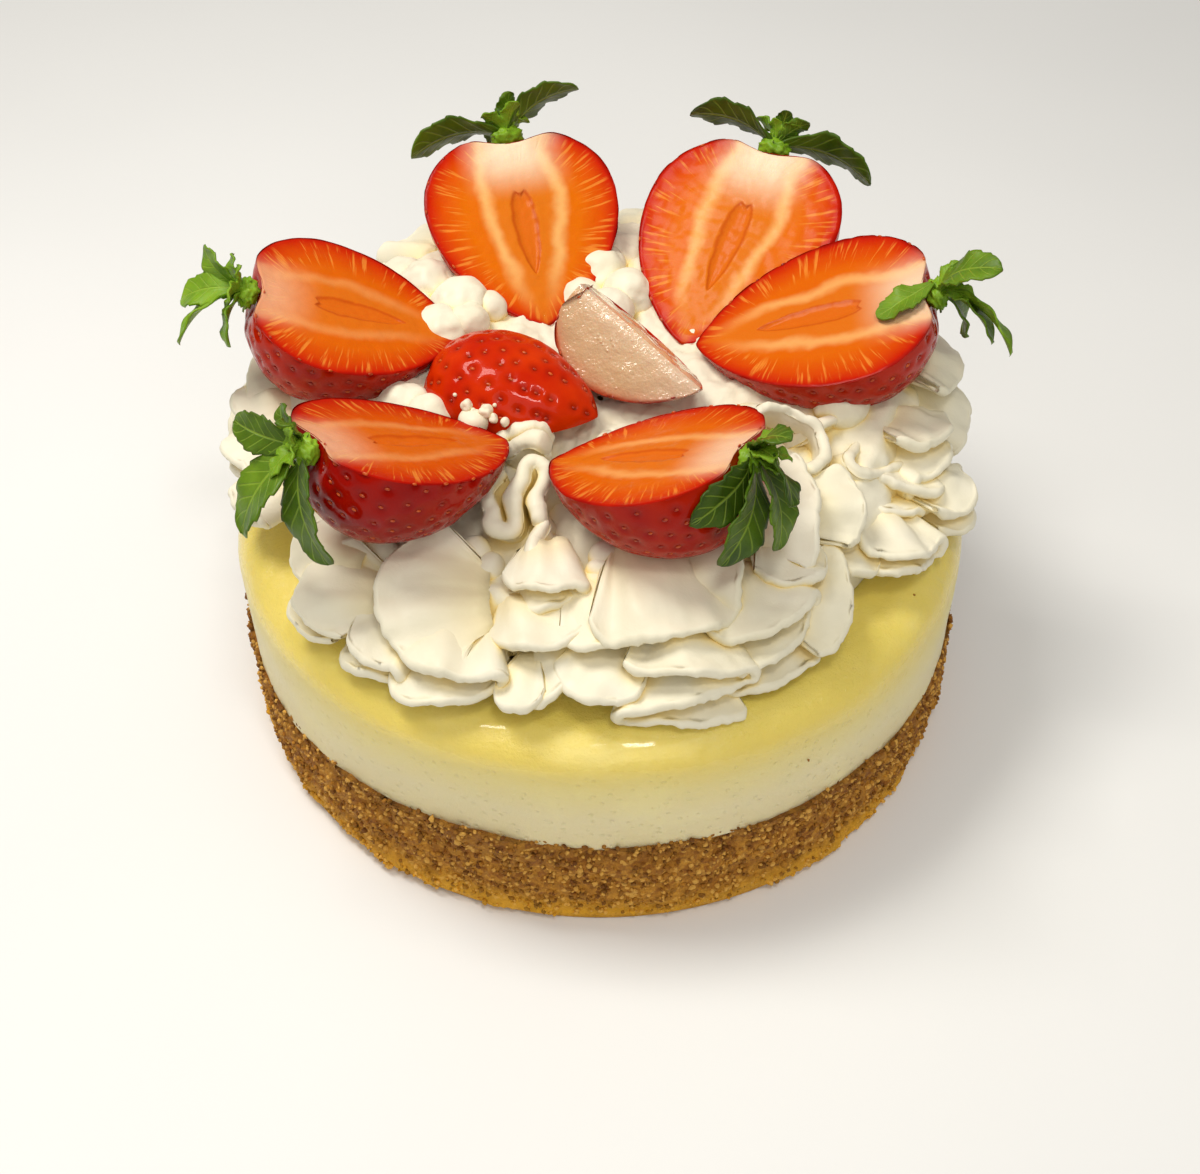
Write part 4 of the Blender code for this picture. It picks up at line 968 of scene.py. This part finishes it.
def add_skin(berry, start, end, berries, seeds, draw, seed):
    """The skin between two angles round the axis, dimpled at each seed and darkened there as painted
    shade, and the seeds.
    """
    width, depth, tone = berry[3], berry[4], berry[7]
    outline = evened(outline_of(berry), FINE)
    deep = depth / (width / 2)
    angles = np.linspace(start, end, max(8, int((end - start) * width / 2 / FINE)))
    place, half = outline[:, :1], outline[:, 1:]
    rows = np.stack([
        np.broadcast_to(place, (len(outline), len(angles))),
        -half * np.cos(angles), -half * deep * np.sin(angles),
    ], -1)
    count = len(angles)
    points = rows.reshape(-1, 3)
    faces = grid_faces(len(outline), count)
    out = normals_of(points, faces)
    if (out * (points - [length_of(berry) * 0.4, 0, 0])).sum() < 0:
        out, faces = -out, faces[:, ::-1]
    points = points + out * (wobble(points, 7, seed, 2) * 0.25)[:, None]
    pits = np.zeros(len(points))
    shape, triangles = ball(1)
    run, row = SEED_START, 0
    total = (len(outline) - 1) * FINE
    while run < total - 1.0:
        i = min(len(outline) - 1, int(run / FINE))
        around = outline[i, 1] * (end - start) * (1 + deep) / 2
        number = max(1, int(around / SEED_SPACING))
        first = 0.5 if row % 2 else 0.05
        for k in range(number):
            a = start + (end - start) * ((k + first + draw.uniform(-0.12, 0.12)) / number)
            j = int(np.clip((a - start) / (end - start) * (count - 1), 0, count - 1))
            ii = int(np.clip(i + draw.integers(-1, 2), 0, len(outline) - 1))
            at = ii * count + j
            spot, up = points[at], out[at]
            reach = np.linalg.norm(points - spot, axis=1)
            pits = np.maximum(pits, np.exp(-((reach / PIT_RADIUS) ** 2)))
            ahead = unit(np.cross(np.cross(up, [1, 0, 0]), up) + 1e-9)
            size = draw.uniform(*SEED_SIZES)
            body = (shape[:, :1] * ahead * 0.78 + shape[:, 1:2] * np.cross(up, ahead) * 0.46
                    + shape[:, 2:] * up * 0.34) * size
            seeds.add(to_world(berry, body + spot - up * 0.34), triangles)
        run += draw.uniform(*SEED_STEPS)
        row += 1
    points = points - out * (pits * PIT_DEPTH)[:, None]
    berries.add(to_world(berry, points), faces, pit=pits, tone=tone)


def add_cut(berry, berries, seed):
    """The flat cut face, in rings from the outline in to the slit along the middle."""
    width, pale, tone = berry[3], berry[6], berry[7]
    length = length_of(berry)
    right = outline_of(berry)
    loop = np.concatenate([right, (right * [1, -1])[::-1][1:-1]])
    loop = evened(np.concatenate([loop, loop[:1]]), CUT_SPACING)[:-1]
    arc = np.arange(len(loop)) * CUT_SPACING
    inner = 0.30 * length + 0.38 * length * (loop[:, 0] + 2) / (length + 2)
    slit = np.stack([inner, 0 * inner], 1)
    parts = np.linspace(0, 1, CUT_RINGS)
    flat = loop[None] + (slit - loop)[None] * parts[:, None, None]
    ring = np.repeat(parts, len(loop))
    points = np.column_stack([flat.reshape(-1, 2), np.zeros(len(ring))])
    hollow = smooth((ring - 0.85) / 0.1) * CUT_HOLLOW
    sag = -CUT_SAG * np.sin(np.pi * np.clip(ring, 0, 1)) + 0.12 * smooth(1 - ring / 0.06)
    points[:, 2] = sag - hollow + wobble(points, 3, seed, 2) * 0.14 * smooth(ring / 0.05)
    points[:, 2] -= 0.35 * smooth(1 - ring / 0.03)
    faces = grid_faces(len(parts), len(loop), wrap=True)
    berries.add(
        to_world(berry, points), faces,
        ring=ring, arc=np.tile(arc, len(parts)) + 37 * seed, pale=pale, tone=tone,
        along=points[:, 0] / length, side=np.abs(points[:, 1]) / (width / 2),
    )


def add_wedge(berry, cuts, seed):
    """The two cut faces of the long wedge, which meet in a soft ridge."""
    outline = evened(outline_of(berry), WEDGE_SPACING)
    count = WEDGE_ROWS
    for side in (-1, 1):
        angle = math.radians(WEDGE_HALF_ANGLE * side)
        share = np.linspace(0, 1, count)
        reach = outline[:, 1:] * share
        rows = np.stack([np.broadcast_to(outline[:, :1], reach.shape), reach * math.sin(angle),
                         -reach * math.cos(angle)], -1)
        points = rows.reshape(-1, 3)
        faces = grid_faces(len(outline), count)
        out = normals_of(points, faces)
        if out[:, 2].sum() < 0:
            out, faces = -out, faces[:, ::-1]
        ridge = np.exp(-((reach.reshape(-1) / WEDGE_RIDGE) ** 2))[:, None]
        rounded = np.tile(smooth((share - 0.93) / 0.07), len(outline))
        lift = wobble(points, 5, seed, 2) * 0.35 - 0.5 * rounded
        moved = points + out * lift[:, None] * (1 - ridge) - Z * 0.6 * ridge
        cuts.add(to_world(berry, moved), faces, ring=1 - np.tile(share, len(outline)),
                 along=points[:, 0] / length_of(berry))


def make_berries(skin, cut, pale, seed_look):
    made = []
    draw = np.random.default_rng(21)
    seeds = Mesh()
    for i, berry in enumerate((*BERRIES, DOME)):
        body, face = Mesh("pit", "tone"), Mesh("ring", "arc", "pale", "tone", "along", "side")
        add_skin(berry, 0.0, math.pi, body, seeds, draw, i)
        add_cut(berry, face, i)
        skin_piece = body.make(berry[0] + "_skin", skin)
        cut_piece = face.make(berry[0] + "_cut", cut)
        for piece in (skin_piece, cut_piece):
            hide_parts(berry[0])
        made += [skin_piece, cut_piece]
    body, face = Mesh("pit", "tone"), Mesh("ring", "along")
    half = math.radians(WEDGE_HALF_ANGLE)
    add_wedge(WEDGE, face, 9)
    round_wedge = (*WEDGE[:3], WEDGE[3], WEDGE[3] / 2, *WEDGE[5:])
    add_skin(round_wedge, math.pi / 2 - half, math.pi / 2 + half, body, seeds, draw, 9)
    pieces = [face.make(WEDGE[0] + "_cut", pale), body.make(WEDGE[0] + "_skin", skin)]
    for piece in pieces:
        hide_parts(WEDGE[0])
    seed_piece = seeds.make("strawberry_seeds", seed_look)
    return made + pieces + [seed_piece]


def kept_off(berry, p):
    """A point of a leaf, in the berry's own axes, moved clear of the fruit if it would cut it."""
    length, width = length_of(berry), berry[3]
    widest = BERRY_WIDEST * length
    if p[2] > LEAF_CLEARANCE or not -BERRY_DIMPLE < p[0] < length:
        return p
    if p[0] > widest:
        reach = math.sqrt(max(0.0, 1 - ((p[0] - widest) / (length - widest)) ** 2))
    else:
        share = (widest - p[0]) / (widest + BERRY_DIMPLE)
        reach = max(0.0, 1 - share**2) ** (SHOULDER_FULLNESS / 2)
    clear = reach * width / 2 + LEAF_CLEARANCE
    off = math.hypot(p[1], p[2])
    if off >= clear:
        return p
    if p[2] > -LEAF_CLEARANCE:
        return np.array((p[0], p[1], LEAF_CLEARANCE))
    return np.array((p[0], p[1] * clear / off, p[2] * clear / off))


def add_leaf(berry, leaf, tone, seed, into):
    """A thin toothed leaf, folded along its rib and bowed, with both faces and a rim."""
    clock, lift = math.radians(leaf[0]), math.radians(leaf[1])
    level = math.cos(lift)
    along = np.array((-math.sin(lift), level * math.cos(clock), level * math.sin(clock)))
    outward = np.array((-1.0, 0, 0)) if abs(along[0]) < 0.8 else Z
    across = unit(np.cross(along, outward))
    normal = unit(np.cross(across, along))
    length = leaf[2]
    rows, columns = LEAF_ROWS, LEAF_COLUMNS
    points, marks_t, marks_s = [], [], []
    for t in np.linspace(0, 1, rows):
        belly = max(0.0, 1 - abs(2 * t - 1.0) ** 2.4) ** 0.5
        full = max(belly, 0.2 * (1 - t)) * (0.42 + 0.58 * float(smooth(t / 0.5)))
        half = max(LEAF_WIDTH * length / 2 * full, 0.02 * length)
        saw = (t * LEAF_TEETH) % 1
        tooth = 1 + 0.16 * (saw - 0.5) * smooth((t - 0.15) / 0.15)
        bowed = 0.14 * length * 4 * t * (1 - t)
        middle = np.array(LEAF_ROOT) + along * (length * t) + normal * bowed
        for s in np.linspace(-1, 1, columns):
            width = half * s * (tooth if abs(s) > 0.8 else 1)
            bow = math.sqrt(s * s + 0.02)
            rise = LEAF_FOLD * half * (bow + 0.4 * s * math.sin(6 * t))
            rise += 0.35 * math.sin(5.5 * t * math.pi + 2 * s + seed) * s * s
            points.append(kept_off(berry, middle + across * width + normal * rise))
            marks_t.append(t)
            marks_s.append(s)
    points = np.array(points)
    thick = LEAF_HALF_THICKNESS * normal
    faces = grid_faces(rows, columns)
    world = [to_world(berry, points + thick), to_world(berry, points - thick)]
    count = len(points)
    rim = [i * columns for i in range(rows)]
    rim += [(rows - 1) * columns + j for j in range(1, columns)]
    rim += [i * columns + columns - 1 for i in range(rows - 2, -1, -1)]
    rim += list(range(columns - 2, 0, -1))
    sides = [(a, b, b + count, a + count) for a, b in zip(rim, rim[1:] + rim[:1])]
    shell = [tuple(f) for f in faces] + [tuple(f[::-1] + count) for f in faces] + sides
    into.add(np.concatenate(world), shell, along=np.tile(marks_t, 2), across=np.tile(marks_s, 2),
             tone=tone)


def make_calyxes(material):
    made = []
    for b, (berry, (tone, leaves)) in enumerate(zip(BERRIES, LEAVES)):
        short = berry[0].replace("strawberry_", "")
        into = Mesh("along", "across", "tone")
        for i, leaf in enumerate(leaves):
            add_leaf(berry, leaf, tone + 0.12 * ((i * 7) % 3 - 1), 3 * b + i, into)
        for k in range(SEPALS):
            sepal = (72 * k + 31 * b, 28 + 14 * ((k * 3 + b) % 3), 6.0 + (k * 5 + b) % 3)
            add_leaf(berry, sepal, 0.8 + 0.1 * (k % 2), 40 + 5 * b + k, into)
        shape, triangles = ball(3)
        knob = shape * np.array((0.55, 0.86, 0.66)) * HUB_RADIUS
        knob = knob * (1 + 0.3 * wobble(shape * 3, 1.0, b + 5, 3))[:, None] + np.array(HUB_CENTRE)
        into.add(to_world(berry, knob), triangles, along=0.1, across=0.6, tone=0.95)
        stem = shape * np.array((1.5, 0.95, 0.95)) + np.array((-4.6, 0.3, -1.2))
        into.add(to_world(berry, stem), triangles, along=0.1, across=0.6, tone=1.0)
        obj = into.make("calyx_" + short + "_leaves", material)
        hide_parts("calyx_" + short)
        made.append(obj)
    return made


def area(name, place, target, size, power, color=(1, 1, 1)):
    data = bpy.data.lights.new(name, "AREA")
    data.energy, data.size, data.color = power, size, color
    obj = bpy.data.objects.new(name, data)
    obj.location = place
    obj.rotation_euler = (Vector(target) - Vector(place)).to_track_quat("-Z", "Y").to_euler()
    bpy.context.scene.collection.objects.link(obj)


def make_stage():
    floor = Mesh()
    side = np.linspace(-FLOOR_REACH, FLOOR_REACH, FLOOR_STEPS)
    xs, ys = np.meshgrid(side, side)
    level = np.full_like(xs, FLOOR_LEVEL)
    floor.add(np.stack([xs, ys, level], -1), grid_faces(FLOOR_STEPS, FLOOR_STEPS))
    floor.make("floor", floor_material())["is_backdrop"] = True
    world = bpy.data.worlds.new("studio")
    world.use_nodes = True
    tree = world.node_tree
    glow = tree.nodes["Background"]
    glow.inputs["Color"].default_value = (1.0, 0.975, 0.93, 1)
    path, strength = tree.nodes.new("ShaderNodeLightPath"), tree.nodes.new("ShaderNodeMapRange")
    strength.inputs["To Min"].default_value = STUDIO_LIGHT
    strength.inputs["To Max"].default_value = STUDIO_MIRRORED
    tree.links.new(path.outputs["Is Glossy Ray"], strength.inputs["Value"])
    tree.links.new(strength.outputs["Result"], glow.inputs["Strength"])
    bpy.context.scene.world = world
    middle = (0, 0, 0.05)
    area("key", (-0.22, 0.06, 0.58), middle, 0.2, 2.3, (1.0, 0.965, 0.9))
    area("front", (0.05, -0.55, 0.60), middle, 0.5, 1.0, (1.0, 0.97, 0.92))
    area("glint", (0.06, -0.26, 0.62), middle, 0.09, 0.7, (1.0, 0.98, 0.94))
    camera = bpy.data.cameras.new("camera")
    camera.lens, camera.sensor_width = CAMERA_LENS, 36
    camera.clip_start = 0.01
    obj = bpy.data.objects.new("camera", camera)
    obj.location = CAMERA_PLACE
    obj.rotation_euler = (math.radians(CAMERA_TILT), 0, 0)
    bpy.context.scene.collection.objects.link(obj)
    bpy.context.scene.camera = obj
    bpy.context.scene.view_settings.view_transform = "Standard"


cream_look = cream_material()
pieces = [make_cream(cream_look), make_flecks(cream_look), make_filling(filling_material())]
pieces += make_crust(crust_material(), crust_material("crumb_grain"))
pieces += make_berries(skin_material(), cut_material(), pale_material(), seed_material())
pieces += make_calyxes(leaf_material())
for piece in pieces:
    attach(piece, "root")
make_stage()

boxes = {"cad": cad_box, "visual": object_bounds()}
{name: [list(corner) for corner in box] for name, box in boxes.items()}
